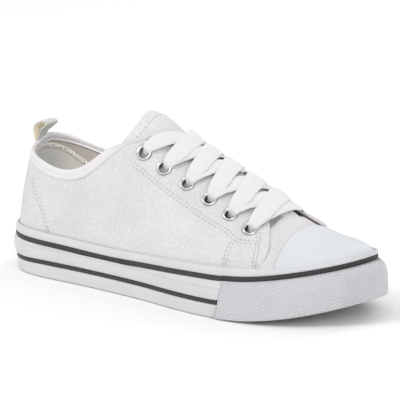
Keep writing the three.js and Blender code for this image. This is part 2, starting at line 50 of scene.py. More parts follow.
# x along the sole, inward drift and half widths of the sole edge, canvas in from that edge, stripe and lip heights,
# ridge over the foot, height of the side before it turns in, fullness of the shoulder
sectionNames = (
    "x", "centre", "lateral", "medial", "inset", "stripe", "lip", "ridgeX", "ridgeY", "ridgeZ", "rise", "crown")
sections = np.array([
    (0, 0, 0, 0, 2.4, 24.8, 5, 54, 0, 128, 9, .72),
    (11, 0, 23.5, 22, 2.6, 24.8, 5, 54.5, 0, 128, 13.2, .75),
    (28, 0, 31.7, 30, 3, 24.6, 5, 56, 0, 128, 20, .84),
    (60, 0, 34, 31, 3, 23.8, 5, 64, 1, 126, 18, .98),
    (105, 0, 37.3, 27.5, 3, 23.2, 5, 92, 2.5, 117, 14, .93),
    (128, 0, 40.2, 29.2, 3, 24.3, 5, 111, 4, 103.5, 12.5, .78),
    (145, 0, 43.3, 33, 3, 25.3, 5, 127.5, 5.5, 92.3, 11, .64),
    (175, .5, 47.4, 41.5, 3.4, 26.8, 5, 161, 7.5, 76.8, 8, .47),
    (205, 2, 48, 43.8, 4.6, 27.3, 4.8, 198, 9, 58.6, 6, .36),
    (235, 4.5, 40.4, 38, 6.6, 27, 3, 229, 9, 46.4, 3.2, .36),
    (255, 7, 26.9, 24.5, 8.2, 25.8, 2.7, 241, 9, 45, 2.4, .56),
    (270, 9, 0, 0, 8.6, 25, 2.8, 244, 9, 44.6, 2.2, .74),
])
collarX = (14, 20, 35, 50, 63, 72, 81, 91, 101, 112, 130)
collarLateral = (79.3, 77.2, 73.2, 70.2, 71.2, 74.8, 80.7, 88, 92.5, 96, 100)
collarMedial = (84.3, 81.6, 76.2, 72.6, 72.6, 75.6, 80.6, 87.4, 92, 95.5, 100)
throatX = (95, 115, 130, 155, 185, 203)
throatHalves = (17, 14, 12.2, 11.2, 12.2, 13.2)


def mix(a, b, share):
    return a + (b - a) * share


# 3t^2 - 2t^3 between 0 and 1
def smooth(value):
    t = np.clip(value, 0, 1)
    return t * t * (3 - 2 * t)


def unit(vectors):
    return vectors / np.maximum(np.linalg.norm(vectors, axis=-1, keepdims=True), 1e-9)


# Cubic spans through the knots with equal slope and bend where they meet; closed on itself when there is a period.
def smoothThrough(knots, values, period=0.0):
    knots, values = np.asarray(knots, float), np.asarray(values, float)
    count = len(knots)
    widths = np.append(np.diff(knots), knots[0] + period - knots[-1])
    rates = (np.roll(values, -1) - values) / widths
    system, pull = np.zeros((count, count)), np.zeros(count)
    for k in range(count):
        before, after = (k - 1) % count, (k + 1) % count
        if not period and k == 0:
            system[k, [0, 1]], pull[k] = (2, 1), 3 * rates[0]
        elif not period and k == count - 1:
            system[k, [k, before]], pull[k] = (2, 1), 3 * rates[before]
        else:
            system[k, before] += widths[k]
            system[k, after] += widths[before]
            system[k, k] += 2 * (widths[before] + widths[k])
            pull[k] = 3 * (widths[k] * rates[before] + widths[before] * rates[k])
    slopes = np.linalg.solve(system, pull)

    def at(place):
        place = np.asarray(place, float)
        if period:
            place = (place - knots[0]) % period + knots[0]
        k = np.clip(np.searchsorted(knots, place, side="right") - 1, 0, count - (1 if period else 2))
        end, width = (k + 1) % count, widths[k]
        t, rise = (place - knots[k]) / width, values[end] - values[k]
        bendStart, bendEnd = slopes[k] * width - rise, rise - slopes[end] * width
        return values[k] + rise * t + t * (1 - t) * (bendStart * (1 - t) + bendEnd * t)

    return at


stationOf = lambda x: np.arccos(1 - 2 * np.asarray(x, float) / last["length"]) / np.pi
column = {name: sections[:, k] for k, name in enumerate(sectionNames)}
loopKnots = np.concatenate([stationOf(column["x"]), 2 - stationOf(column["x"][1:-1])[::-1]])


# One column of the sections as a periodic curve of u: 0 at the heel, 1 at the toe, 2 at the heel again by the
# medial side.
def aroundShoe(lateral, medial=None):
    medial = lateral if medial is None else medial
    return smoothThrough(loopKnots, np.concatenate([lateral, medial[1:-1][::-1]]), 2.0)


edgeY = aroundShoe(column["centre"] - column["lateral"], column["centre"] + column["medial"])
insetAt, stripeAt, lipAt, riseAt, crownAt, ridgeX, ridgeY, ridgeZ = (
    aroundShoe(column[name]) for name in ("inset", "stripe", "lip", "rise", "crown", "ridgeX", "ridgeY", "ridgeZ"))
rimLateral, rimMedial = smoothThrough(collarX, collarLateral), smoothThrough(collarX, collarMedial)
throatHalf = smoothThrough(throatX, throatHalves)
throatCentre = lambda x: mix(3, 8, smooth((x - 90) / 120))
edgeX = lambda u: last["length"] * (1 - np.cos(np.pi * np.asarray(u, float))) / 2
springLength = last["length"] - last["springStart"]
springAt = lambda x: last["toeSpring"] * np.clip((x - last["springStart"]) / springLength, 0, 1) ** 2
floorAt = lambda x: springAt(x) + mix(last["heelFloor"], last["foreFloor"], smooth((x - 60) / 100))


# The sole edge moved inwards along its own normal by an inset.
def edgePoint(u, inset):
    step = 1e-3
    alongX, alongY = edgeX(u + step) - edgeX(u - step), edgeY(u + step) - edgeY(u - step)
    length = np.hypot(alongX, alongY)
    return edgeX(u) - inset * alongY / length, edgeY(u) + inset * alongX / length


# v below 0 is the upright part behind the side wall, v from 0 to 1 a cubic arc from the wall's top to the ridge.
def lastPoint(u, v):
    u, v = np.broadcast_arrays(np.asarray(u, float), np.asarray(v, float))
    footX, footY = edgePoint(u, insetAt(u))
    start = springAt(footX) + stripeAt(u)
    crown, topX, topY, topZ = crownAt(u), ridgeX(u), ridgeY(u), ridgeZ(u)
    foot = np.stack([footX, footY, start], -1)
    side = np.stack([footX, footY, start + riseAt(u)], -1)
    shoulder = np.stack([mix(topX, footX, crown), mix(topY, footY, crown), topZ], -1)
    ridge = np.stack([topX, topY, topZ], -1)
    t = np.clip(v, 0, 1)[..., None]
    arc = (1 - t) ** 3 * foot + 3 * (1 - t) ** 2 * t * side + 3 * (1 - t) * t ** 2 * shoulder + t ** 3 * ridge
    drop = np.stack([0 * v, 0 * v, np.minimum(v, 0) * (start - floorAt(footX) - .3)], -1)
    return arc + drop


# Outward normal: along the loop across the way up. On the ridge it is the mean of the two sides.
def lastNormal(u, v):
    u, v = np.broadcast_arrays(np.asarray(u, float), np.asarray(v, float))
    step = 2e-3
    top = np.minimum(v, 1 - 2 * step)

    def oneSide(a, b):
        along = lastPoint(a + step, b) - lastPoint(a - step, b)
        return unit(np.cross(along, lastPoint(a, b + step) - lastPoint(a, b - step)))

    blend = (.5 * smooth((v - .9) / .1))[..., None]
    return unit(oneSide(u, top) * (1 - blend) + oneSide(2 - u, top) * blend)


def offsetPoint(u, v, offset):
    return lastPoint(u, v) + lastNormal(u, v) * np.asarray(offset, float)[..., None]


# The last as one sheet: s from heel to toe, w from -1 at the lateral side over the ridge to 1 at the medial side.
def onSheet(s, w):
    return np.where(w < 0, s, 2 - s), 1 - np.abs(w)


def sheetPoint(s, w, offset=0.0):
    u, v = onSheet(np.asarray(s, float), np.asarray(w, float))
    return offsetPoint(u, v, np.asarray(offset, float) + 0 * u)


def rimHeight(points):
    x = np.maximum(points[..., 0], collarX[0])
    return mix(rimLateral(x), rimMedial(x), smooth((points[..., 1] + 8) / 16))


# The last place of a span where a test still holds, found by halving.
def halve(low, high, holds, turns):
    for turn in range(turns):
        middle = (low + high) / 2
        held = holds(middle)
        low, high = np.where(held, middle, low), np.where(held, high, middle)
    return low


# v where the canvas ends at the collar or the throat.
def openingV(u):
    u = np.asarray(u, float)

    def isCanvas(v):
        p = lastPoint(u, v)
        x, y, z = p[..., 0], p[..., 1], p[..., 2]
        half = throatHalf(np.maximum(x, throatX[0]))
        inThroat = (x > last["throatStart"]) & (z > last["throatFold"]) & (np.abs(y - throatCentre(x)) < half)
        return ~(((x < collarX[-1]) & (z > rimHeight(p))) | inThroat)

    return halve(np.zeros_like(u), np.ones_like(u), isCanvas, 28)


# v at a distance down the canvas from the edge of the opening, walked back by the chord's own length.
def downTo(u, top, distance):
    u, top, distance = np.broadcast_arrays(u, top, distance)
    rim = lastPoint(u, top)
    v = top - distance / 90
    for turn in range(12):
        gap = distance - np.linalg.norm(lastPoint(u, v) - rim, axis=-1)
        speed = np.linalg.norm(lastPoint(u, v + 1e-3) - lastPoint(u, v - 1e-3), axis=-1) / 2e-3
        v = np.minimum(v - gap / speed, top)
    return v


# Distance walked along rows of points.
def walkAlong(points):
    return np.concatenate([[0], np.cumsum(np.linalg.norm(np.diff(points, axis=0), axis=-1))])


loopU = 2 * np.arange(72) / 72
edgeAcross = edgePoint(loopU, 0)[1]
frameShift = np.array([-last["length"] / 2, -(edgeAcross.min() + edgeAcross.max()) / 2, 0])
print("last ready, moved by", frameShift)


# Quads of a grid of points held row after row, outward where rows run along the shoe and columns run up.
def gridFaces(rows, columns, first=0, closeRows=False, closeColumns=False, flip=False):
    i = np.arange(rows if closeRows else rows - 1)[:, None]
    j = np.arange(columns if closeColumns else columns - 1)
    iNext, jNext = (i + 1) % rows, (j + 1) % columns
    corners = [i * columns + j, iNext * columns + j, iNext * columns + jNext, i * columns + jNext]
    faces = np.stack(corners, -1).reshape(-1, 4) + first
    return faces[:, ::-1] if flip else faces


# The faces of one grid repeated for a number of grids held one after another.
def repeatFaces(faces, points, copies):
    return (faces[None] + points * np.arange(copies)[:, None, None]).reshape(-1, 4)


# Faces of two skins over one grid and of the rim that joins them.
def shellFaces(rows, columns, flip=False):
    count = rows * columns
    border = np.concatenate([
        np.arange(columns - 1), np.arange(rows - 1) * columns + columns - 1,
        (rows - 1) * columns + np.arange(columns - 1, 0, -1), np.arange(rows - 1, 0, -1) * columns])
    following = np.roll(border, -1)
    rim = np.stack([border, following, following + count, border + count], -1)
    faces = np.concatenate([gridFaces(rows, columns), gridFaces(rows, columns, count, flip=True), rim])
    parts = np.repeat([0, 1, 2], [(rows - 1) * (columns - 1)] * 2 + [len(rim)])
    return (faces[:, ::-1] if flip else faces), parts


# Cloth coordinates in metres, from lengths along the rows and across them.
def crossed(run, across):
    return np.stack([run + 0 * across, across + 0 * run], -1) * mm


# Lengths walked along both directions of a grid.
def clothCoordinates(grid):
    along = np.linalg.norm(np.diff(grid, axis=0), axis=-1).mean(axis=1)
    up = np.linalg.norm(np.diff(grid, axis=1), axis=-1)
    across = np.concatenate([np.zeros((len(grid), 1)), np.cumsum(up, axis=1)], axis=1)
    return crossed(np.concatenate([[0], np.cumsum(along)])[:, None], across)


def editMesh(mesh, change):
    work = bmesh.new()
    work.from_mesh(mesh)
    change(work)
    work.to_mesh(mesh)
    work.free()


def makePiece(name, points, faces, materials, uv=None, faceMaterial=None, weld=0):
    points, faces = np.asarray(points, float).reshape(-1, 3), np.asarray(faces)
    mesh = bpy.data.meshes.new(name)
    mesh.vertices.add(len(points))
    mesh.vertices.foreach_set("co", ((points + frameShift) * mm).ravel())
    mesh.loops.add(faces.size)
    mesh.loops.foreach_set("vertex_index", faces.ravel().astype(np.int32))
    mesh.polygons.add(len(faces))
    mesh.polygons.foreach_set("loop_start", np.arange(0, faces.size, faces.shape[1], dtype=np.int32))
    mesh.polygons.foreach_set("use_smooth", np.full(len(faces), True))
    for material in materials:
        mesh.materials.append(material)
    if faceMaterial is not None:
        mesh.polygons.foreach_set("material_index", np.asarray(faceMaterial, dtype=np.int32))
    if uv is not None:
        layer = mesh.uv_layers.new(name="cloth")
        layer.data.foreach_set("uv", np.asarray(uv, float).reshape(-1, 2)[faces.ravel()].ravel())
    mesh.update(calc_edges=True)

    def weldPoints(work):
        bmesh.ops.remove_doubles(work, verts=work.verts, dist=weld * mm)
        bmesh.ops.dissolve_degenerate(work, dist=1e-7, edges=work.edges)

    if weld:
        editMesh(mesh, weldPoints)
    mesh.validate()
    piece = bpy.data.objects.new(name, mesh)
    bpy.context.scene.collection.objects.link(piece)
    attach(piece, "root")
    return piece


# A sheet of cloth or rubber between two offset skins; its border is rounded by drawing both skins together there.
def makeShell(name, u, v, outer, inner, materials, lining=None, weld=0, rounding=.3, flip=False):
    rows, columns = u.shape
    edge = np.zeros((rows, columns))
    edge[0], edge[-1], edge[:, 0], edge[:, -1] = 1, 1, 1, 1
    pinch = np.minimum(rounding, (outer - inner) * .4) * edge
    base, normal = lastPoint(u, v), lastNormal(u, v)
    skins = [base + normal * (outer - pinch)[..., None], base + normal * (inner + pinch)[..., None]]
    faces, parts = shellFaces(rows, columns, flip)
    cloth = clothCoordinates(skins[0]).reshape(-1, 2)
    faceMaterial = None if lining is None else np.where(parts == 1, lining, 0)
    return makePiece(name, np.stack(skins), faces, materials, np.concatenate([cloth, cloth]), faceMaterial, weld)


# A section carried along a path: rings of points closed round it, with flat ends unless the path closes too.
def makeSweep(name, rings, materials, closePath=False, uv=None, flip=False):
    rows, columns = rings.shape[:2]
    faces = gridFaces(rows, columns, closeRows=closePath, closeColumns=True, flip=flip)
    points, coordinates = rings.reshape(-1, 3), None if uv is None else uv.reshape(-1, 2)
    if not closePath:
        ends = np.stack([rings[0].mean(axis=0), rings[-1].mean(axis=0)])
        points = np.concatenate([points, ends])
        if coordinates is not None:
            coordinates = np.concatenate([coordinates, uv[[0, -1]].mean(axis=1)])
        j = np.arange(columns)
        jNext, low, tail = (j + 1) % columns, rows * columns + 0 * j, (rows - 1) * columns
        caps = np.concatenate([
            np.stack([low, j, jNext, low], -1), np.stack([low + 1, tail + jNext, tail + j, low + 1], -1)])
        faces = np.concatenate([faces, caps[:, ::-1] if flip else caps])
    return makePiece(name, points, faces, materials, coordinates, weld=0 if closePath else 1e-4)


# Links sockets and sets plain values into the inputs of a node.
def feed(tree, node, inputs):
    for key, value in inputs.items():
        if isinstance(value, bpy.types.NodeSocket):
            tree.links.new(value, node.inputs[key])
        else:
            node.inputs[key].default_value = value
    return node


def put(tree, kind, inputs=None, **settings):
    node = tree.nodes.new(kind)
    for key, value in settings.items():
        setattr(node, key, value)
    return feed(tree, node, inputs or {})


def calculate(tree, operation, a, b=0.0):
    return put(tree, "ShaderNodeMath", {0: a, 1: b}, operation=operation).outputs[0]


def plus(tree, a, b):
    return calculate(tree, "ADD", a, b)


def times(tree, a, b):
    return calculate(tree, "MULTIPLY", a, b)


# Noise on one kind of coordinates of the piece.
def noise(tree, kind, scale, detail=2.0, roughness=.5):
    inputs = {"Vector": put(tree, "ShaderNodeTexCoord").outputs[kind], "Scale": scale, "Detail": detail,
              "Roughness": roughness}
    return put(tree, "ShaderNodeTexNoise", inputs).outputs["Fac"]


def coordinates(tree, kind):
    return put(tree, "ShaderNodeSeparateXYZ", {0: put(tree, "ShaderNodeTexCoord").outputs[kind]}).outputs


def blendColour(tree, share, first, second):
    ends = [end if isinstance(end, bpy.types.NodeSocket) else (*end, 1) for end in (first, second)]
    return put(tree, "ShaderNodeMix", {"Factor": share, 6: ends[0], 7: ends[1]}, data_type="RGBA").outputs[2]


def spread(tree, value, low, high):
    return put(tree, "ShaderNodeMapRange", {"Value": value, "From Min": low, "From Max": high}).outputs[0]


# sin of one coordinate with a pitch in metres
def wave(tree, value, pitch):
    return calculate(tree, "SINE", times(tree, value, 2 * math.pi / pitch))


def newMaterial(name):
    material = bpy.data.materials.new(name)
    material.use_nodes = True
    return material, material.node_tree


# Gives a material its colour, gloss, nap and a bump of the given depth in metres.
def dress(material, colour, roughness, height, depth, sheen=0.0, specular=.5, metallic=0.0):
    tree = material.node_tree
    bump = put(tree, "ShaderNodeBump", {"Height": height, "Distance": depth, "Strength": 1.0})
    feed(tree, tree.nodes["Principled BSDF"], {
        "Base Color": colour, "Roughness": roughness, "Metallic": metallic, "Sheen Weight": sheen,
        "Sheen Roughness": .5, "Specular IOR Level": specular, "Normal": bump.outputs[0]})
    return material


# two colours for each material, between which its pattern moves
colours = {
    "canvas": ((.905, .878, .88), (.765, .734, .737)), "tongue": ((.895, .87, .875), (.82, .79, .795)),
    "binding": ((.86, .84, .84), (.81, .785, .785)), "lining": ((.69, .63, .58), (.62, .56, .51)),
    "cap": ((.675, .69, .72), (.645, .66, .69)), "wall": ((.655, .652, .665), (.61, .608, .62)),
    # the tread's colours are partly the rubber's own and partly darkened as painted shadow under the raised toe
    "tread": ((.46, .44, .42), (.38, .36, .345)), "footbed": ((.50, .49, .46), (.43, .42, .39)),
    "suede": ((.75, .735, .69), (.67, .655, .615)), "tape": ((.86, .82, .76), (.26, .23, .21)),
    "stripe": ((.014, .014, .016), (.05, .05, .054)), "hatch": ((.53, .53, .55), (.71, .71, .73)),
    "lace": ((.74, .735, .75), (.845, .84, .855)), "loopOutside": ((.62, .61, .57), (.74, .735, .70)),
    "loopInside": ((.92, .83, .66), (.98, .91, .76)), "metal": ((.80, .80, .81), (.62, .62, .64)),
    "eyeletPaintedShade": ((.10, .10, .105), (.05, .05, .055)), "thread": ((.48, .464, .46), (.60, .58, .575)),
}


# Woven cloth: the product of a wave along the warp and one along the weft, with uneven threads and soft mottling.
# The low places of the weave take a darker copy of the darker colour, as painted shade between the threads.
def clothMaterial(name, key, pitch, depth, roughness=.9):
    material, tree = newMaterial(name)
    light, shade = colours[key]
    threads = coordinates(tree, "UV")
    weave = times(tree, wave(tree, threads[0], pitch), wave(tree, threads[1], pitch))
    height = plus(tree, times(tree, weave, .4), noise(tree, "UV", .45 / pitch, 3, .65))
    grain = plus(tree, noise(tree, "UV", 40, 4, .6), times(tree, noise(tree, "UV", 480, 2, .7), .9))
    soft = blendColour(tree, spread(tree, grain, .72, 1.18), light, shade)
    # painted shade: three quarters of the darker colour, laid in the hollows of the weave
    hollowShade = tuple(value * .76 for value in shade)
    colour = blendColour(tree, spread(tree, height, -.1, .95), hollowShade, soft)
    return dress(material, colour, roughness, height, depth, .15, .25)


# Clouds of two colours, given as noise settings and two ends, over a bump of noise called the grain. The gloss can
# follow the clouds or a noise of its own.
def cloudyMaterial(name, key, kind, roughness, clouds, grain, depth, byClouds=0, byNoise=0, **settings):
    material, tree = newMaterial(name)
    share = spread(tree, noise(tree, kind, *clouds[:3]), *clouds[3:])
    gloss = roughness
    if byClouds:
        gloss = plus(tree, times(tree, share, byClouds), roughness)
    if byNoise:
        gloss = plus(tree, times(tree, noise(tree, kind, 60, 3), byNoise), roughness - byNoise / 2)
    height = noise(tree, kind, *grain)
    return dress(material, blendColour(tree, share, *colours[key]), gloss, height, depth, **settings)


# Moulded rubber and foam: a fine grain, faint clouding and a slightly uneven gloss.
def rubberMaterial(name, key, roughness, grain=900, depth=.00003, specular=.45):
    return cloudyMaterial(name, key, "Object", roughness, (28, 4, .6, .3, .7), (grain,), depth, byNoise=.16,
                          specular=specular)


# Ribbed rubber: ribs across the band by its length coordinate, a little darker between the ribs as painted shade,
# with noise in the tone.
def stripeMaterial():
    material, tree = newMaterial("stripe rubber")
    ribs = wave(tree, coordinates(tree, "UV")[0], .0016)
    share = spread(tree, plus(tree, ribs, noise(tree, "Object", 300, 3)), -.6, 1.4)
    return dress(material, blendColour(tree, share, *colours["stripe"]), .5, ribs, .00018)


# Cross-hatched rubber: two sets of fine slanting grooves in the band's own coordinates. The grooves are darker, as
# painted shade, and noise patches vary the tone.
def hatchMaterial():
    material, tree = newMaterial("hatched rubber")
    band, pitch = coordinates(tree, "UV"), .00165
    rise = times(tree, band[1], .8)
    one = wave(tree, plus(tree, band[0], rise), pitch)
    two = wave(tree, calculate(tree, "SUBTRACT", band[0], rise), pitch)
    height = calculate(tree, "MAXIMUM", one, two)
    # painted shade in the grooves, times uneven patches of tone
    share = times(tree, spread(tree, height, -.6, .9), spread(tree, noise(tree, "Object", 40, 3), .1, .5))
    return dress(material, blendColour(tree, share, *colours["hatch"]), .5, height, .00022)


# Flat braided lace: V-shaped ribs from the width coordinate folded about the middle, darker between the ribs as
# painted shade.
def laceMaterial():
    material, tree = newMaterial("lace braid")
    band = coordinates(tree, "UV")
    slope = times(tree, calculate(tree, "ABSOLUTE", band[1]), .6)
    ribs = plus(tree, wave(tree, plus(tree, band[0], slope), .00095), wave(tree, band[1], .0009))
    height = plus(tree, times(tree, ribs, .3), noise(tree, "UV", 1800))
    # painted shade: the low places of the braid take the darker colour
    colour = blendColour(tree, spread(tree, height, -.1, 1.1), *colours["lace"])
    return dress(material, colour, .85, height, .00014, .2, .3)


# Webbing of the pull loop: cross ribs, white outside and cream inside, told apart by the width coordinate. Both
# faces are darker between the ribs, as painted shade.
def webbingMaterial():
    material, tree = newMaterial("loop webbing")
    band = coordinates(tree, "UV")
    ribs = times(tree, wave(tree, band[0], .0011), wave(tree, band[1], .0014))
    height = plus(tree, ribs, noise(tree, "UV", 900, 3))
    # painted shade: the low places between the ribs take the darker colour
    share = spread(tree, height, -.4, 1.3)
    outside, inside = (blendColour(tree, share, *colours[key]) for key in ("loopOutside", "loopInside"))
    colour = blendColour(tree, calculate(tree, "GREATER_THAN", band[1], .05), outside, inside)
    return dress(material, colour, .85, height, .00016, .2)


# Plated steel, lightly worn.
def metalMaterial(name, key, roughness):
    return cloudyMaterial(name, key, "Object", roughness, (420, 3, .5, .3, .7), (1500, 1), .00002, byClouds=.14,
                          metallic=1.0)


# Sewing thread: twisted strands as slanting waves, darker in the grooves between the strands as painted shade. Its
# colours are darker than the thread itself, as painted shade of the stitch holes.
def threadMaterial():
    material, tree = newMaterial("canvas thread")
    place = coordinates(tree, "Object")
    twist = wave(tree, plus(tree, place[0], place[2]), .0006)
    return dress(material, blendColour(tree, spread(tree, twist, -1, 1), *colours["thread"]), .7, twist, .00006)


canvasCloth = clothMaterial("canvas cloth", "canvas", .00085, .0002)
tongueCloth = clothMaterial("tongue cloth", "tongue", .00085, .0002)
bindingTape = clothMaterial("binding tape", "binding", .0006, .0001, .8)
liningCloth = clothMaterial("lining cloth", "lining", .0007, .00012)
capRubber = rubberMaterial("cap rubber", "cap", .42, specular=.4)
wallRubber = rubberMaterial("wall rubber", "wall", .45)
# painted shadow: the outsole rubber is darker than it is, to stand for the shadow under the toe
treadWithPaintedShadow = rubberMaterial("tread rubber", "tread", .6, 500, .00008)
footbedFoam = rubberMaterial("footbed fabric", "footbed", .9, 1400, .0001, .2)
# short nap with wide strokes, and pale overlocking with dark flecks where it is sewn
heelSuede = cloudyMaterial(
    "heel suede", "suede", "Object", .95, (70, 5, .7, .35, .65), (1500, 3, .7), .0002, sheen=.4, specular=.15)
borderTape = cloudyMaterial("border tape", "tape", "UV", .9, (950, 3, .7, .50, .60), (900, 3), .0003, sheen=.3)
stripeRubber, hatchedRubber, laceBraid = stripeMaterial(), hatchMaterial(), laceMaterial()
loopWebbing, canvasThreadShaded = webbingMaterial(), threadMaterial()
eyeletMetal = metalMaterial("eyelet metal", "metal", .12)
# painted shade and dark reflection: a near-black metal for the bore and the outer foot of each flange
eyeletShade = metalMaterial("eyelet dark edge", "eyeletPaintedShade", .35)
print("materials ready")
# side, start x, start z, end x, end z, half width, height: soft folds worn into the canvas
creaseRows = np.array([
    (-1, 178, 30, 192, 49, 5, -.5), (-1, 186, 31, 200, 46, 4, .35), (-1, 168, 31, 178, 46, 6, .35),
    (-1, 60, 34, 74, 62, 9, -.5), (-1, 84, 33, 98, 66, 10, .45), (-1, 112, 34, 128, 62, 9, -.4),
    (-1, 40, 34, 48, 58, 7, .4), (-1, 140, 36, 152, 56, 8, .35), (-1, 20, 36, 30, 60, 5, -.4),
    (1, 178, 30, 190, 49, 5, -.6), (1, 188, 31, 199, 46, 4, .4), (1, 66, 34, 78, 60, 9, -.5),
    (1, 96, 33, 108, 66, 9, .5), (1, 128, 34, 138, 60, 8, -.4), (1, 150, 34, 160, 52, 7, .4),
])


def bell(value, middle, reach):
    return np.exp(-((value - middle) / reach) ** 2)


# Sum of bell-shaped ridges about short straight lines seen from the side.
def creases(points):
    x, y, z = points[..., 0], points[..., 1], points[..., 2]
    total = np.zeros_like(x)
    for side, x0, z0, x1, z1, width, height in creaseRows:
        lengthSquared = (x1 - x0) ** 2 + (z1 - z0) ** 2
        share = np.clip(((x - x0) * (x1 - x0) + (z - z0) * (z1 - z0)) / lengthSquared, 0, 1)
        apart = np.hypot(x - mix(x0, x1, share), z - mix(z0, z1, share))
        total += height * bell(apart, 0, width) * smooth(side * (y - 4) / 8)
    return total


# Height of the canvas over the lip of the side wall, 0 on it and 1 well above.
def clearOfLip(points, u):
    lip = springAt(points[..., 0]) + stripeAt(u) + lipAt(u)
    return smooth((points[..., 2] - lip - .5) / 4)


# Quarters: both sides and the heel in one sheet.
quarters = {
    "lateralFront": ((-.4, .1, .34, .5, .6, .667, .727), (.7035, .7035, .703, .696, .686, .680, .672)),
    "medialFront": ((-.4, .1, .34, .5, .65, .76, .83), (.712, .714, .717, .719, .717, .710, .701)),
    "proud": .9, "lapStart": .56, "lapLength": .08, "frontWall": 1.0, "medialLift": 2.8, "medialWall": 1.5,
    "columns": 250, "rows": 64, "bottom": -.4,
}
# the front of the quarters stands proud of the vamp it laps
lapHeight = lambda s: quarters["proud"] * smooth((s - quarters["lapStart"]) / quarters["lapLength"])


# One side as a patch between four border curves in (s, v): heel line, top edge, front edge, bottom.
def quarterSide(side):
    knots, stations = quarters["lateralFront"] if side < 0 else quarters["medialFront"]
    frontS = smoothThrough(knots, stations)
    toU = (lambda s: s) if side < 0 else (lambda s: 2 - s)
    cornerV = .75
    for turn in range(20):
        cornerV = float(openingV(toU(frontS(cornerV))))
    a, b = np.linspace(0, 1, quarters["columns"])[:, None], np.linspace(0, 1, quarters["rows"])
    low = quarters["bottom"]
    cornerS, lowS, heelV = float(frontS(cornerV)), float(frontS(low)), float(openingV(0.0))
    topS, frontV = cornerS * a, mix(low, cornerV, b)
    topV = openingV(toU(topS))
    s = (1 - b) * lowS * a + b * topS + a * frontS(frontV) - (a * mix(lowS, cornerS, b))
    v = (1 - b) * low + b * topV + (1 - a) * mix(low, heelV, b) + a * frontV - (
        (1 - a) * mix(low, heelV, b) + a * mix(low, cornerV, b))
    return toU(s), v, s


sides = [quarterSide(-1), quarterSide(1)]
quarterU = np.concatenate([sides[1][0][:0:-1] - 2, sides[0][0]])
quarterV = np.concatenate([sides[1][1][:0:-1], sides[0][1]])
quarterS = np.concatenate([sides[1][2][:0:-1], sides[0][2]])
quarterBase = lastPoint(quarterU, quarterV)
free = clearOfLip(quarterBase, quarterU)
medialLift = smooth((quarterS - .64) / .07) * (quarterU < 0) * smooth((quarterV - .5) / .2)
quarterOuter = (lapHeight(quarterS) + creases(quarterBase) + quarters["medialLift"] * medialLift) * free
quarterWall = mix(last["wall"], quarters["frontWall"], smooth((quarterS - .58) / .05) * free)
quarterWall = quarterWall + quarters["medialWall"] * medialLift * free
upper = makeShell(
    "quarters", quarterU, quarterV, quarterOuter, quarterOuter - quarterWall, [canvasCloth, liningCloth], lining=1)
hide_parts("upper")
print("quarters ready")


# Opens both skins of a sheet round spots on it: faces with their middle near a spot go, and a band joins the holes.
def pierce(piece, spots, radius, skinFaces):
    def apart(middles):
        return np.linalg.norm((np.array(middles) / mm - frameShift)[:, None] - spots[None], axis=-1)

    def openHoles(work):
        work.faces.ensure_lookup_table()
        middles = [face.calc_center_median()[:] for face in work.faces[:skinFaces]]
        inHole = np.flatnonzero(apart(middles).min(axis=1) < radius)
        gone = [work.faces[k + shift] for k in inHole for shift in (0, skinFaces)]
        bmesh.ops.delete(work, geom=gone, context="FACES")
        rims = [edge for edge in work.edges if edge.is_boundary]
        nearest = apart([((edge.verts[0].co + edge.verts[1].co) / 2)[:] for edge in rims]).argmin(axis=1)
        for k in range(len(spots)):
            bmesh.ops.bridge_loops(work, edges=[edge for edge, owner in zip(rims, nearest) if owner == k])
        bmesh.ops.recalc_face_normals(work, faces=work.faces)

    editMesh(piece.data, openHoles)


# Vamp: the front of the upper, under the quarters and the toe cap.
vamp = {
    "rows": 90, "columns": 170, "bottom": 1.35,
    "rearW": (-1.35, -.6, -.42, -.31, -.212, -.079, -.012, .065, .127, .2, .34, .6, 1.35),
    "rearS": (.655, .655, .672, .680, .681, .682, .685, .690, .694, .693, .675, .66, .66),
}
w = np.linspace(-vamp["bottom"], vamp["bottom"], vamp["columns"])
rear = np.interp(w, vamp["rearW"], vamp["rearS"])
s = mix(rear, 1, np.linspace(0, 1, vamp["rows"])[:, None])
vampU, vampV = onSheet(s, w + 0 * s)
vampBase = lastPoint(vampU, vampV)
vampOuter = creases(vampBase) * clearOfLip(vampBase, vampU) - .15 * smooth((.70 - s) / .02)
piece = makeShell("vamp", vampU, vampV, vampOuter, vampOuter - last["wall"] + .2, [canvasCloth, liningCloth],
                  lining=1, weld=.02, flip=True)
print("vamp ready")

# Toe cap: a rubber sheet over the vamp, cut along a shallow arc across the toe.
toeCap = {
    "back": 217, "flare": 45, "middle": -6, "reach": 80, "under": .45, "thickness": 1.4, "bottom": 1.3,
    "edgeDrop": .35, "edgeLength": .012, "rows": 110, "columns": 170,
}
w = np.linspace(-toeCap["bottom"], toeCap["bottom"], toeCap["columns"])


def isBehindCap(s):
    x, y, z = sheetPoint(s, w).T
    return x < toeCap["back"] + toeCap["flare"] * ((y - toeCap["middle"]) / toeCap["reach"]) ** 2


back = halve(np.full_like(w, .6), np.full_like(w, .95), isBehindCap, 30)
s = mix(back, 1, np.linspace(0, 1, toeCap["rows"])[:, None] ** 1.15)
capU, capV = onSheet(s, w + 0 * s)
ease = 1 - smooth((s - back) / toeCap["edgeLength"])
capOuter = toeCap["under"] + toeCap["thickness"] - toeCap["edgeDrop"] * ease ** 2 + 0 * s
piece = makeShell("toeCap", capU, capV, capOuter, toeCap["under"] + 0 * s, [capRubber], weld=.02, rounding=.45,
                  flip=True)
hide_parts("toe_cap")
print("toe cap ready")

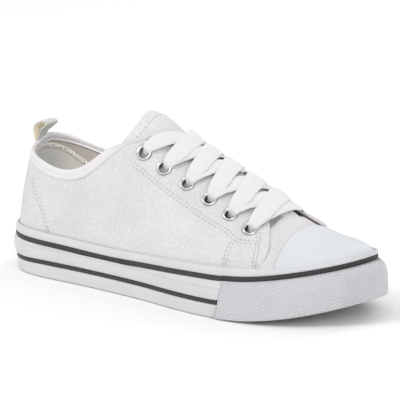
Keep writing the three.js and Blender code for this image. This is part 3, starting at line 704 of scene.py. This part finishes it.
# Side wall with grooves for its stripes. A stripe has its heights, the lower from the ground and the upper down from
# the edge, and its outer and inner insets. The heel's bends have an amount, a height and a reach.
wall = {
    "stations": 480, "ground": .4, "lowerStripe": (8.9, 11.5), "lowerInsets": (.45, 1.8), "upperStripe": (3.1, .1),
    "upperInsets": (.25, 1.6), "stripeRound": .3, "heelDrop": (1.3, 10.5, 3), "heelBulge": (1.1, 16, 5.5),
    "mostLean": 2.4, "bumperStart": 187, "bumperSlant": 6.5, "bumperRise": 22, "stripeShare": .4,
    "bumperThick": (1.2, 5.2),
}
bumperThick = lambda x: mix(*wall["bumperThick"], smooth((x - 200) / 70))
wallInner = lambda u: insetAt(u) - .3 - 1.85 * smooth((edgeX(u) - 208) / 8)
heelShareAt = lambda u: 1 - smooth((edgeX(u) - 4) / 40)


# How far the canvas has moved in from its foot at the height of the lip, so that the lip can follow it.
def leanAt(u):
    foot = lastPoint(u, 0 * u)
    isUnder = lambda v: lastPoint(u, v)[..., 2] < foot[..., 2] + lipAt(u)
    low = halve(0 * u, 0 * u + .5, isUnder, 14)
    lean = np.linalg.norm((lastPoint(u, low) - foot)[..., :2], axis=-1)
    return np.minimum(lean, wall["mostLean"]) * (1 - smooth((edgeX(u) - 200) / 10))


# fixed height, share of the stripe's height, share of the lip, inset from the sole edge
wallProfile = np.array([
    (.4, 0, 0, 2.0), (.4, 0, 0, 1.4), (.7, 0, 0, 1.0), (1.4, 0, 0, .9), (4.5, 0, 0, .85), (8.2, 0, 0, .85),
    (8.6, 0, 0, .95), (8.8, 0, 0, 1.4), (11.6, 0, 0, 1.4), (11.8, 0, 0, .5), (12.3, 0, 0, .15), (13.2, 0, 0, 0),
    (16, 0, 0, -.05), (18.4, 0, 0, -.02), (18.7, 0, 0, .12), (18.95, 0, 0, 0), (19.2, 0, 0, -.22),
    (19.6, 0, 0, -.3), (20.0, 0, 0, -.22), (20.3, 0, 0, .05),
    (-4.2, 1, 0, .1), (-3.6, 1, 0, .2), (-3.3, 1, 0, .5), (-3.2, 1, 0, 1.1), (0, 1, 0, 1.1), (.15, 1, 0, .55),
    (.5, 1, 0, .28), (.6, 1, .2, .22), (.3, 1, .5, .3), (0, 1, .72, .5), (0, 1, .86, .85), (0, 1, .95, 1.25),
    (0, 1, 1, 1.75), (0, 1, 1, 2.3), (0, 1, .98, 2.9),
])
wallU = 2 * np.arange(wall["stations"]) / wall["stations"]


# A ring of the profile for each station; ahead of the bumper the wall steps in behind it.
def wallRings(u, heights, insets):
    x = edgeX(u)
    start = wall["bumperStart"] + wall["bumperSlant"] * np.clip(heights / wall["bumperRise"], 0, 1)
    bumped = smooth((x - start + 2) / 2)
    recess = (bumperThick(x) + .3) * bumped
    inset = insets + np.maximum(recess + insets * .6 - insets, 0) * bumped
    inset = np.minimum(inset, wallInner(u) - .25 + leanAt(u))
    px, py = edgePoint(u, inset)
    return np.stack([px, py, springAt(x) + heights], -1)


u = wallU[:, None]
fixed, ofStripe, ofLip, insets = wallProfile.T[:, None]
heights = fixed + ofStripe * stripeAt(u) + ofLip * lipAt(u)
amount, middle, reach = wall["heelDrop"]
heights = heights - amount * heelShareAt(u) * bell(fixed, middle, reach) * (ofStripe == 0)
amount, middle, reach = wall["heelBulge"]
bulge = amount * heelShareAt(u) * bell(heights, middle, reach)
lean = leanAt(u)
rolled = smooth((insets - 1) / 1.6) * (ofLip > .8)
outerRings = wallRings(u + 0 * heights, heights, insets - bulge + rolled * lean)
innerX, innerY = edgePoint(u, wallInner(u))
topX, topY = edgePoint(u, wallInner(u) + lean)
innerZ = springAt(edgeX(u)) + np.concatenate([stripeAt(u) + .95 * lipAt(u), wall["ground"] + 0 * u], 1)
inner = np.stack([np.concatenate([topX, innerX], 1), np.concatenate([topY, innerY], 1), innerZ], -1)
rings = np.concatenate([outerRings, inner], axis=1)
piece = makeSweep("sideWall", rings, [wallRubber], closePath=True)
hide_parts("foxing")


# A thin band let into a groove of the wall: a flattened D over its height range.
def makeStripe(name, u, low, high, insets, closed):
    t = np.linspace(0, 1, 9)
    heights = mix(low[:, None], high[:, None], np.append(t, [1, 0]))
    front = insets[0] + wall["stripeRound"] * (2 * t - 1) ** 4
    rings = wallRings(u[:, None] + 0 * heights, heights, np.append(front, [insets[1]] * 2) + 0 * heights)
    uv = crossed(walkAlong(rings[:, 4])[:, None], heights)
    makeSweep(name, rings, [stripeRubber], closePath=closed, uv=uv)


low, high = (stripeAt(wallU) - below for below in wall["upperStripe"])
makeStripe("upperStripe", wallU, low, high, wall["upperInsets"], True)
stripeEnd = float(stationOf(wall["bumperStart"] + wall["bumperSlant"] * wall["stripeShare"] - 1))
reach = np.linspace(-stripeEnd, stripeEnd, 360)
low, high = (height - wall["heelDrop"][0] * heelShareAt(reach) for height in wall["lowerStripe"])
makeStripe("lowerStripe", reach, low, high, wall["lowerInsets"], False)
print("side wall and stripes ready")

# Toe bumper: a thicker band round the toe. At its ends one unit of u is "station" millimetres along the sole.
bumper = {"height": 3.3, "rows": 260, "station": 390}
# share of the height, share of the thickness
bumperProfile = np.array([
    (0, .3), (0, .12), (.02, .04), (.06, 0), (.2, 0), (.38, 0), (.55, 0), (.66, .05), (.76, .15), (.84, .27),
    (.9, .4), (.95, .56), (.98, .7), (1, .86), (1, 1), (0, 1),
])
climb, depth = bumperProfile.T[:, None]
startU = float(stationOf(wall["bumperStart"]))
u = np.linspace(startU, 2 - startU, bumper["rows"])[:, None]
fromEnd = np.minimum(u - startU, 2 - startU - u)
slant = wall["bumperSlant"] / bumper["station"] * climb * (1 - smooth(fromEnd / .12))
u = u + slant * np.sign(1 - u)
thick = bumperThick(edgeX(u)) * mix(.35, 1, smooth(fromEnd / .012))
height = stripeAt(u) - bumper["height"] - wall["ground"]
px, py = edgePoint(u, thick * depth - .05)
rings = np.stack([px, py, springAt(edgeX(u)) + wall["ground"] + height * climb], -1)
uv = crossed(walkAlong(rings[:, 4])[:, None], walkAlong(rings[bumper["rows"] // 2]))
piece = makeSweep("toeBumper", rings, [hatchedRubber], uv=uv)
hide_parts("toe_bumper")
print("toe bumper ready")

# Outsole and footbed keep their shapes.
for name, material in (("outsole", treadWithPaintedShadow), ("insole", footbedFoam)):
    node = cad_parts[name]
    node.data.materials.clear()
    node.data.materials.append(material)

# Collar binding: a tape folded over the rim of the opening.
binding = {
    "rows": 420, "reach": .5, "fadeStart": 96, "fadeLength": 10, "thinStart": 18, "thinLength": 25,
    "ridgeX": (0, 14, 29, 41, 61, 74, 85, 94, 99.5, 104, 130),
    "ridgeDown": (3.4, 3.4, 3.6, 5, 5, 6.4, 6.6, 4.4, 2.4, 1.2, .9),
}
# way down: share of the outer depth plus a fixed part; offset from the canvas
bindingProfile = np.array([
    (1, .7, -.3), (1, .55, .25), (1, .2, .75), (1, -.2, .9), (1, -.7, .8), (1, -1.15, .5), (.75, -.9, .42),
    (.5, -.4, .6), (.25, .1, .85), (.1, .2, .95), (0, .0, .85), (0, -.45, .5), (0, -.8, -.1), (0, -.95, -.9),
    (0, -.8, -1.7), (0, -.4, -2.2), (0, .2, -2.4), (0, 1.0, -2.45), (0, 2.0, -2.3), (0, 2.7, -2.15), (0, 3.1, -2.4),
    (0, 3.5, -2.65), (0, 3.9, -2.65), (0, 4.2, -2.4), (0, 4.4, -1.7),
])
ofDepth, fixed, offset = bindingProfile.T[:, None]
reachU = np.linspace(-binding["reach"], binding["reach"], binding["rows"])[:, None]
topV = openingV(reachU % 2)
rim = lastPoint(reachU, topV)
rimX = rim[..., 0]
depth = np.interp(rimX, binding["ridgeX"], binding["ridgeDown"])
fade = 1 - smooth((rimX - binding["fadeStart"]) / binding["fadeLength"])
down = depth * ofDepth + fixed * mix(.5, 1, fade)
heelThin = mix(.25, 1, smooth((rimX - binding["thinStart"]) / binding["thinLength"]))
offset = np.where(offset > 0, offset * mix(.45, 1, fade) * heelThin, offset) + .12 * (1 - fade)
uGrid = reachU + 0 * down
vGrid = downTo(uGrid, topV + 0 * down, np.maximum(down, 0))
upward = unit(rim - lastPoint(reachU, topV - .01))
rings = offsetPoint(uGrid, vGrid, offset) + upward * np.maximum(-down, 0)[..., None]
uv = crossed(walkAlong(rim[:, 0])[:, None], walkAlong(rings[len(rings) // 2]))
piece = makeSweep("collarBinding", rings, [bindingTape], uv=uv)
print("binding ready")

# Heel lining: a padded patch inside the heel, with a sewn border along its top.
heelLining = {
    "u": (-.30, -.26, -.219, -.187, -.148, -.101, -.044, 0), "v": (.16, .25, .345, .385, .429, .466, .486, .49),
    "bottom": -.3, "offset": -1.95, "thickness": .7, "border": 4.0, "borderOffset": -2.4, "borderThickness": .35,
}
half = smoothThrough(heelLining["u"], heelLining["v"])
patchU = np.linspace(heelLining["u"][0], -heelLining["u"][0], 160)[:, None]
patchTop = half(-np.abs(patchU))
patchV = mix(heelLining["bottom"], patchTop, np.linspace(0, 1, 40))
outer = heelLining["offset"] + 0 * patchV
makeShell("heelLining", patchU + 0 * patchV, patchV, outer, outer - heelLining["thickness"], [heelSuede])
t = np.linspace(0, 1, 8)
bandU = patchU + 0 * t
bandV = downTo(bandU, patchTop + 0 * t, heelLining["border"] * t)
outer = heelLining["borderOffset"] + 0 * bandV
inner = outer - heelLining["borderThickness"] * (1 + np.sin(np.pi * t))
makeShell("heelLiningBorder", bandU, bandV[:, ::-1], outer, inner, [borderTape])
print("heel lining ready")

# Tongue: a thick sheet under the laces, which puffs up between the edges of the throat.
tongue = {
    "tip": .457, "curve": .047, "base": .79, "tipSide": .6, "baseSide": .7, "offset": -3.0, "thickness": 2.0,
    "edgeDrop": .35, "puff": 3.2, "ripple": .28, "across": 80, "along": 110, "hem": 5,
}
b = np.linspace(-1, 1, tongue["across"])[:, None]
a = np.linspace(0, 1, tongue["along"])
tongueS = mix(tongue["tip"] - tongue["curve"] * b ** 2, tongue["base"], a)
tongueW = b * (1 - mix(tongue["tipSide"], tongue["baseSide"], a))
tongueU, tongueV = onSheet(tongueS, tongueW)
edgeShare = np.minimum(np.minimum(1 - np.abs(b), 2 * a), 1)
puff = tongue["puff"] * smooth((.58 - np.abs(b)) / .3) * smooth((a + .03) / .12)
puff = tongue["edgeDrop"] * smooth(edgeShare / .12) + puff
ripple = tongue["ripple"] * np.sin(a * 60) * (1 - b ** 2) * smooth((a - .18) / .1)
tongueOuter = tongue["offset"] + puff - tongue["edgeDrop"] + ripple
piece = makeShell("tongue", tongueU, tongueV, tongueOuter, tongueOuter - tongue["thickness"],
                  [tongueCloth, liningCloth], lining=1, rounding=.6, flip=True)
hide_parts("tongue")
print("tongue ready")

# Eyelets: place along the shoe and distance down from the throat, from the top one to the lowest.
eyelets = {
    "lateral": ((115.6, 10), (130.1, 18.4), (146.7, 17.7), (163.6, 18.4), (179.5, 18.6), (194.5, 17.7)),
    "medial": ((115.6, 10), (130.1, 15), (147, 14), (164, 13), (181, 12), (196, 11)),
    "segments": 44, "hole": 3.9, "paintedShadeRings": (0, 1, 8, 9, 10, 11, 12),
}


# The spot a way down the canvas from the throat's edge at a place along the shoe, halving over s.
def spotBelowEdge(side, x, inset):
    def below(s):
        start = side * (1 - float(openingV(np.array(s if side < 0 else 2 - s))))
        w = start + side * .002 * np.arange(400)
        return float(np.interp(inset, walkAlong(lastPoint(*onSheet(s + 0 * w, w))), w))

    isBehind = lambda s: lastPoint(*onSheet(np.array(s), np.array(below(s))))[0] < x
    s = float(halve(.35, .8, isBehind, 24))
    return s, below(s)


eyeletSpots = [[spotBelowEdge(side, x, inset) for x, inset in eyelets[name]]
               for side, name in ((-1, "lateral"), (1, "medial"))]
allSpots = eyeletSpots[0] + eyeletSpots[1]
# radius and height of the rolled flange, the bore and its turned-over foot
eyeletProfile = np.array([
    (2.9, -2.8), (2.9, -1.0), (3.05, -.2), (3.3, .4), (3.6, .85), (3.95, 1.1), (4.3, 1.05), (4.6, .75), (4.76, .35),
    (4.85, .05), (4.8, -.05), (3.4, -.05), (3.35, -2.8),
])
rings = []
reach, height = eyeletProfile.T[..., None]
angles = 2 * np.pi * np.arange(eyelets["segments"]) / eyelets["segments"]
for s, w in allSpots:
    centre, normal = sheetPoint(s, w, lapHeight(s) * .95), lastNormal(*onSheet(np.array(s), np.array(w)))
    level = unit(np.cross(normal, np.array([0, 0, 1.0])))
    ring = np.cos(angles)[:, None] * level + np.sin(angles)[:, None] * np.cross(normal, level)
    rings.append(centre + ring[:, None] * reach + normal * height)
grid = np.stack(rings)
count, rows, columns = grid.shape[:3]
faces = repeatFaces(gridFaces(rows, columns, closeRows=True, closeColumns=True), rows * columns, count)
# faces of the bore and of the flange's outer foot take the painted shade
isPaintedShade = np.tile(np.isin(np.arange(columns), eyelets["paintedShadeRings"]), count * rows)
piece = makePiece("eyelets", grid, faces, [eyeletMetal, eyeletShade], faceMaterial=isPaintedShade)
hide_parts(*[f"eyelet_{side}_{k}" for side in ("lateral", "medial") for k in range(1, 7)])
pierce(upper, np.array([sheetPoint(*spot) for spot in allSpots]), eyelets["hole"],
       (quarterU.shape[0] - 1) * (quarterU.shape[1] - 1))
print("eyelets ready")

# Laces: crossed flat strands and the lowest bar. A strand narrows to its hole over the gather.
laces = {
    "width": 13.4, "bar": 10.5, "topWidth": 12.2, "hole": 6.6, "nearShare": .84, "forward": 1.9, "topForward": .4,
    "lean": .8, "thickness": 1.15, "holeThickness": 1.7, "lift": 1.8, "over": 1.2, "dive": 3.4, "gather": 14,
    "rows": 90, "segments": 20,
}


# Spots on the last under a straight line between two eyelets: Newton's steps on the sheet, all points at once.
def routeBetween(start, end, steps):
    q = np.linspace(0, 1, steps)
    tips = np.stack([sheetPoint(*start), sheetPoint(*end)])
    chord = tips[1] - tips[0]
    facing = unit(sum(lastNormal(*onSheet(np.array(s), np.array(w))) for s, w in (start, end)))
    axes = np.stack([unit(chord), unit(np.cross(chord, facing))])
    s, w = mix(start[0], end[0], q), mix(start[1], end[1], q)
    targets = tips[0] + chord * q[:, None]
    nudge = 1e-4
    for turn in range(14):
        gap = (lastPoint(*onSheet(s, w)) - targets) @ axes.T
        slopeS = ((lastPoint(*onSheet(s + nudge, w)) - targets) @ axes.T - gap) / nudge
        slopeW = ((lastPoint(*onSheet(s, w + nudge)) - targets) @ axes.T - gap) / nudge
        scale = slopeS[:, 0] * slopeW[:, 1] - slopeS[:, 1] * slopeW[:, 0]
        s = s - np.clip((gap[:, 0] * slopeW[:, 1] - gap[:, 1] * slopeW[:, 0]) / scale, -.02, .02)
        w = w - np.clip((gap[:, 1] * slopeS[:, 0] - gap[:, 0] * slopeS[:, 1]) / scale, -.05, .05)
    return s, w


# A rounded box section: powers of cosine and sine, from -1 to 1 both ways.
def boxSection(segments, acrossPower, upPower):
    angle = 2 * np.pi * np.arange(segments) / segments
    return [np.sign(side) * np.abs(side) ** power
            for side, power in ((np.cos(angle), acrossPower), (np.sin(angle), upPower))]


# A flat strand: an arched section along the route, gathered and turned down into the holes at both ends.
def strandRings(start, end, over, lean, full, forward):
    s, w = routeBetween(start, end, laces["rows"])
    u, v = onSheet(s, w)
    base, normal = lastPoint(u, v), lastNormal(u, v)
    walked = walkAlong(base)
    nearer = np.minimum(walked, walked[-1] - walked)
    rise = laces["lift"] + over * smooth((nearer - 3) / 8) + lapHeight(s) * smooth((np.abs(w) - .22) / .05)
    lift = mix(-laces["dive"], rise, smooth((nearer - .6) / 3.8))
    across = unit(np.cross(normal, unit(np.gradient(base, axis=0))))
    aside = lean * (1 - smooth(nearer / 7))
    ahead = np.sign(across[:, 0]) * forward * smooth(walked / 12) * smooth((walked[-1] - walked) / 26)
    centre = base + normal * lift[:, None] + across * aside[:, None] + across * ahead[:, None]
    face = unit(np.cross(unit(np.gradient(centre, axis=0)), across))
    widest = full * mix(laces["nearShare"], 1, smooth((walked / walked[-1] - .3) / .4))
    width = mix(laces["hole"], widest, smooth((nearer + .5) / laces["gather"]))[:, None]
    thickness = mix(laces["holeThickness"], laces["thickness"], smooth(nearer / 7))[:, None]
    flatX, flatZ = boxSection(laces["segments"], .45, .7)
    arch = mix(-.35, -.9, 1 - smooth(nearer / 12))[:, None] * flatX ** 2
    ringPoints = (centre[:, None] + across[:, None] * (flatX * width / 2)[..., None]
                  + face[:, None] * ((flatZ * .5 + .5) * thickness + arch)[..., None])
    return ringPoints, crossed(walked[:, None], flatX * full / 2)


near, far = eyeletSpots
strands = [strandRings(near[5], far[5], 0, 0, laces["bar"], 0)]
for k in range(5):
    width, forward = (laces["width"], laces["forward"]) if k else (laces["topWidth"], laces["topForward"])
    strands += [
        strandRings(near[k], far[k + 1], 0, laces["lean"], width, -forward),
        strandRings(near[k + 1], far[k], laces["over"], -laces["lean"], laces["width"], laces["forward"])]
grid, uv = (np.stack(part) for part in zip(*strands))
count, rows, columns = grid.shape[:3]
faces = repeatFaces(gridFaces(rows, columns, closeColumns=True), rows * columns, count)
piece = makePiece("laces", grid, faces, [laceBraid], uv)


def closeEnds(work):
    bmesh.ops.holes_fill(work, edges=work.edges, sides=laces["segments"] + 4)
    bmesh.ops.recalc_face_normals(work, faces=work.faces)


editMesh(piece.data, closeEnds)
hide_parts("laces")
print("laces ready")


# Two arrays of points on a smooth curve through a list of spots.
def curveThrough(spots, count):
    spots = np.array(spots)
    t = np.arange(len(spots))
    return [smoothThrough(t, spots[:, k])(np.linspace(0, t[-1], count)) for k in (0, 1)]


# Pull loop: a flat webbing bent in a loop above the heel. Its inner face has width coordinates from "insideFrom".
pullLoop = {
    "path": ((13.9, 80.5), (13.1, 83.0), (12.4, 86), (12.9, 89.2), (15.8, 91.8), (20, 93), (22.9, 92.5),
             (22.7, 91.0), (20.4, 89.2), (18.2, 87.2), (16.2, 84.8), (14.9, 82)),
    "width": 11, "thickness": 1.3, "tilt": 2.4, "tiltFrom": 88, "rows": 90, "insideFrom": 100,
}
loopX, loopZ = curveThrough(pullLoop["path"], pullLoop["rows"])
path = np.stack([loopX, 0 * loopX, loopZ], -1)
along = unit(np.gradient(path, axis=0))
normal = np.stack([-along[:, 2], 0 * loopX, along[:, 0]], -1)
tilt = pullLoop["tilt"] * smooth((pullLoop["tiltFrom"] - loopZ) / 5)[:, None]
flatY, flatN = boxSection(24, .35, .8)
across = flatY * pullLoop["width"] / 2
rings = path[:, None] + normal[:, None] * (flatN * pullLoop["thickness"] / 2)[None, :, None] + np.stack(
    [0 * tilt + 0 * flatY, across + 0 * tilt, flatY * tilt], -1)
uv = crossed(walkAlong(path)[:, None], across + np.where(flatN < 0, pullLoop["insideFrom"], 0))
piece = makeSweep("pullLoop", rings, [loopWebbing], uv=uv, flip=True)
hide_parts("pull_loop")
print("pull loop ready")

# Stitches: each seam of the canvas runs through (s, v) spots, as two rows a distance apart.
seams = {
    "pitch": 2.7, "length": 1.9, "radius": .32, "rows": (-1.1, 1.1),
    "facing": ((.449, .567), (.475, .558), (.510, .541), (.547, .524), (.582, .492), (.611, .474), (.630, .458),
               (.648, .431), (.679, .470)),
    "patchBack": ((.638, .402), (.637, .298), (.638, .10)),
    "frontStrip": ((.665, .60), (.680, .425), (.694, .10)),
    "heel": ((.190, .35), (.199, .318), (.231, .244), (.252, .174), (.261, .08)),
}


# Stitches along a run: small ellipsoids spaced by the walked length, laid in the surface.
def stitchesAlong(points, normals):
    walked = walkAlong(points)
    places = np.arange(seams["pitch"] / 2, walked[-1], seams["pitch"])
    at = lambda place, values: np.stack([np.interp(place, walked, values[:, k]) for k in range(3)], -1)
    centres = at(places, points)
    ahead, up = unit(at(places + .3, points) - centres), unit(at(places, normals))
    aside = unit(np.cross(up, ahead))
    tilt, turn = np.meshgrid(np.linspace(0, np.pi, 6), 2 * np.pi * np.arange(6) / 6, indexing="ij")
    long, thick = np.cos(tilt) * seams["length"] / 2, np.sin(tilt) * seams["radius"]
    parts = zip((long, thick * np.cos(turn), thick * np.sin(turn)), (ahead, aside, up))
    return centres[:, None, None] + sum(part[None, ..., None] * axis[:, None, None] for part, axis in parts)


def makeStitches(name, runs):
    grid = np.concatenate([stitchesAlong(points, normals) for points, normals in runs])
    count, rows, columns = grid.shape[:3]
    faces = repeatFaces(gridFaces(rows, columns, closeColumns=True, flip=True), rows * columns, count)
    makePiece(name, grid, faces, [canvasThreadShaded], weld=.001)


# One row of a seam on one side of the canvas, moved aside by a distance.
def seamRun(spots, side, aside):
    s, v = curveThrough(spots, 160)
    u = s if side < 0 else 2 - s
    points, normals = lastPoint(u, v), lastNormal(u, v)
    extra = lapHeight(s) + creases(points)
    across = unit(np.cross(normals, unit(np.gradient(points, axis=0))))
    return points + normals * extra[:, None] + across * aside, normals


makeStitches("canvasStitches", [
    seamRun(seams[name], side, aside) for side in (-1, 1) for name in ("facing", "patchBack", "frontStrip", "heel")
    for aside in seams["rows"]])
hem = (slice(4, -4), tongue["hem"])
hemU, hemV = onSheet(tongueS[hem], tongueW[hem])
makeStitches("tongueStitches", [(offsetPoint(hemU, hemV, tongueOuter[hem]), lastNormal(hemU, hemV))])
print("stitches ready")

# Floor, light and camera. A lamp has its place, aim, power, size and colour; the beam brightens the lining.
stageLook = {
    "floor": (.95, .95, .95), "floorHalf": 30, "world": .78,
    "lamps": {
        "key": ((-.9, -1.3, 1.7), (0, 0, .04), 15, .9, (1, 1, 1)),
        "fill": ((1.5, -1.0, .9), (0, 0, .05), 7.6, 1.2, (.92, .98, 1)),
        "rim": ((.2, 1.6, 1.2), (0, 0, .05), 6.5, 1.0, (1, 1, 1)),
    },
    "beam": {"place": (.278, -.462, .567), "aim": (-.098, .02, .06), "power": 15, "angle": 4.4, "size": .01},
}
floorMaterial, tree = newMaterial("studio floor")
feed(tree, tree.nodes["Principled BSDF"], {
    "Base Color": (*stageLook["floor"], 1), "Roughness": .8, "Specular IOR Level": .1})
side = stageLook["floorHalf"]
mesh = bpy.data.meshes.new("floor")
mesh.from_pydata([(-side, -side, 0), (side, -side, 0), (side, side, 0), (-side, side, 0)], [], [(0, 1, 2, 3)])
mesh.materials.append(floorMaterial)
floor = bpy.data.objects.new("floor", mesh)
bpy.context.scene.collection.objects.link(floor)

world = bpy.data.worlds.new("studio")
world.use_nodes = True
feed(world.node_tree, world.node_tree.nodes["Background"], {"Color": (1, 1, 1, 1), "Strength": stageLook["world"]})
bpy.context.scene.world = world


def addLight(name, kind, spot, aim, power):
    data = bpy.data.lights.new(name, kind)
    data.energy = power
    light = bpy.data.objects.new(name, data)
    light.location = spot
    light.rotation_euler = (Vector(aim) - Vector(spot)).to_track_quat("-Z", "Y").to_euler()
    bpy.context.scene.collection.objects.link(light)
    return data


for name, (spot, aim, power, size, colour) in stageLook["lamps"].items():
    lamp = addLight(name, "AREA", spot, aim, power)
    lamp.shape, lamp.size, lamp.color = "DISK", size, colour
beam = stageLook["beam"]
spotlight = addLight("inside", "SPOT", beam["place"], beam["aim"], beam["power"])
spotlight.spot_size, spotlight.spot_blend = math.radians(beam["angle"]), 1.0
spotlight.shadow_soft_size = beam["size"]
# Camera: where it looks from, with the lens' length and the middle of the view on a frame of that many units.
view = {
    "azimuth": 38.326, "height": 14.0, "roll": -1.0, "distance": 2000, "target": (135, 0, 45), "focal": 3258.5,
    "middle": (192.71, 218.51), "frame": 400, "sensor": 36,
}
az, el, roll = (math.radians(view[key]) for key in ("azimuth", "height", "roll"))
backward = np.array([math.sin(az) * math.cos(el), -math.cos(az) * math.cos(el), math.sin(el)])
stand = (np.array(view["target"], float) + backward * view["distance"] + frameShift) * mm
right = unit(np.cross(-backward, [0, 0, 1.0]))
upwards = np.cross(right, -backward)
turned = right * math.cos(roll) + upwards * math.sin(roll), upwards * math.cos(roll) - right * math.sin(roll)
cameraData = bpy.data.cameras.new("camera")
cameraData.sensor_width = view["sensor"]
cameraData.lens = view["focal"] * view["sensor"] / view["frame"]
cameraData.shift_x = (view["frame"] / 2 - view["middle"][0]) / view["frame"]
cameraData.shift_y = (view["middle"][1] - view["frame"] / 2) / view["frame"]
cameraData.clip_end = 100
camera = bpy.data.objects.new("camera", cameraData)
axes = np.column_stack([turned[0], turned[1], backward])
camera.matrix_world = Matrix.Translation(Vector(stand)) @ Matrix(axes.tolist()).to_4x4()
bpy.context.scene.collection.objects.link(camera)
bpy.context.scene.camera = camera
bpy.context.scene.view_settings.view_transform = "Standard"
print("stage ready")
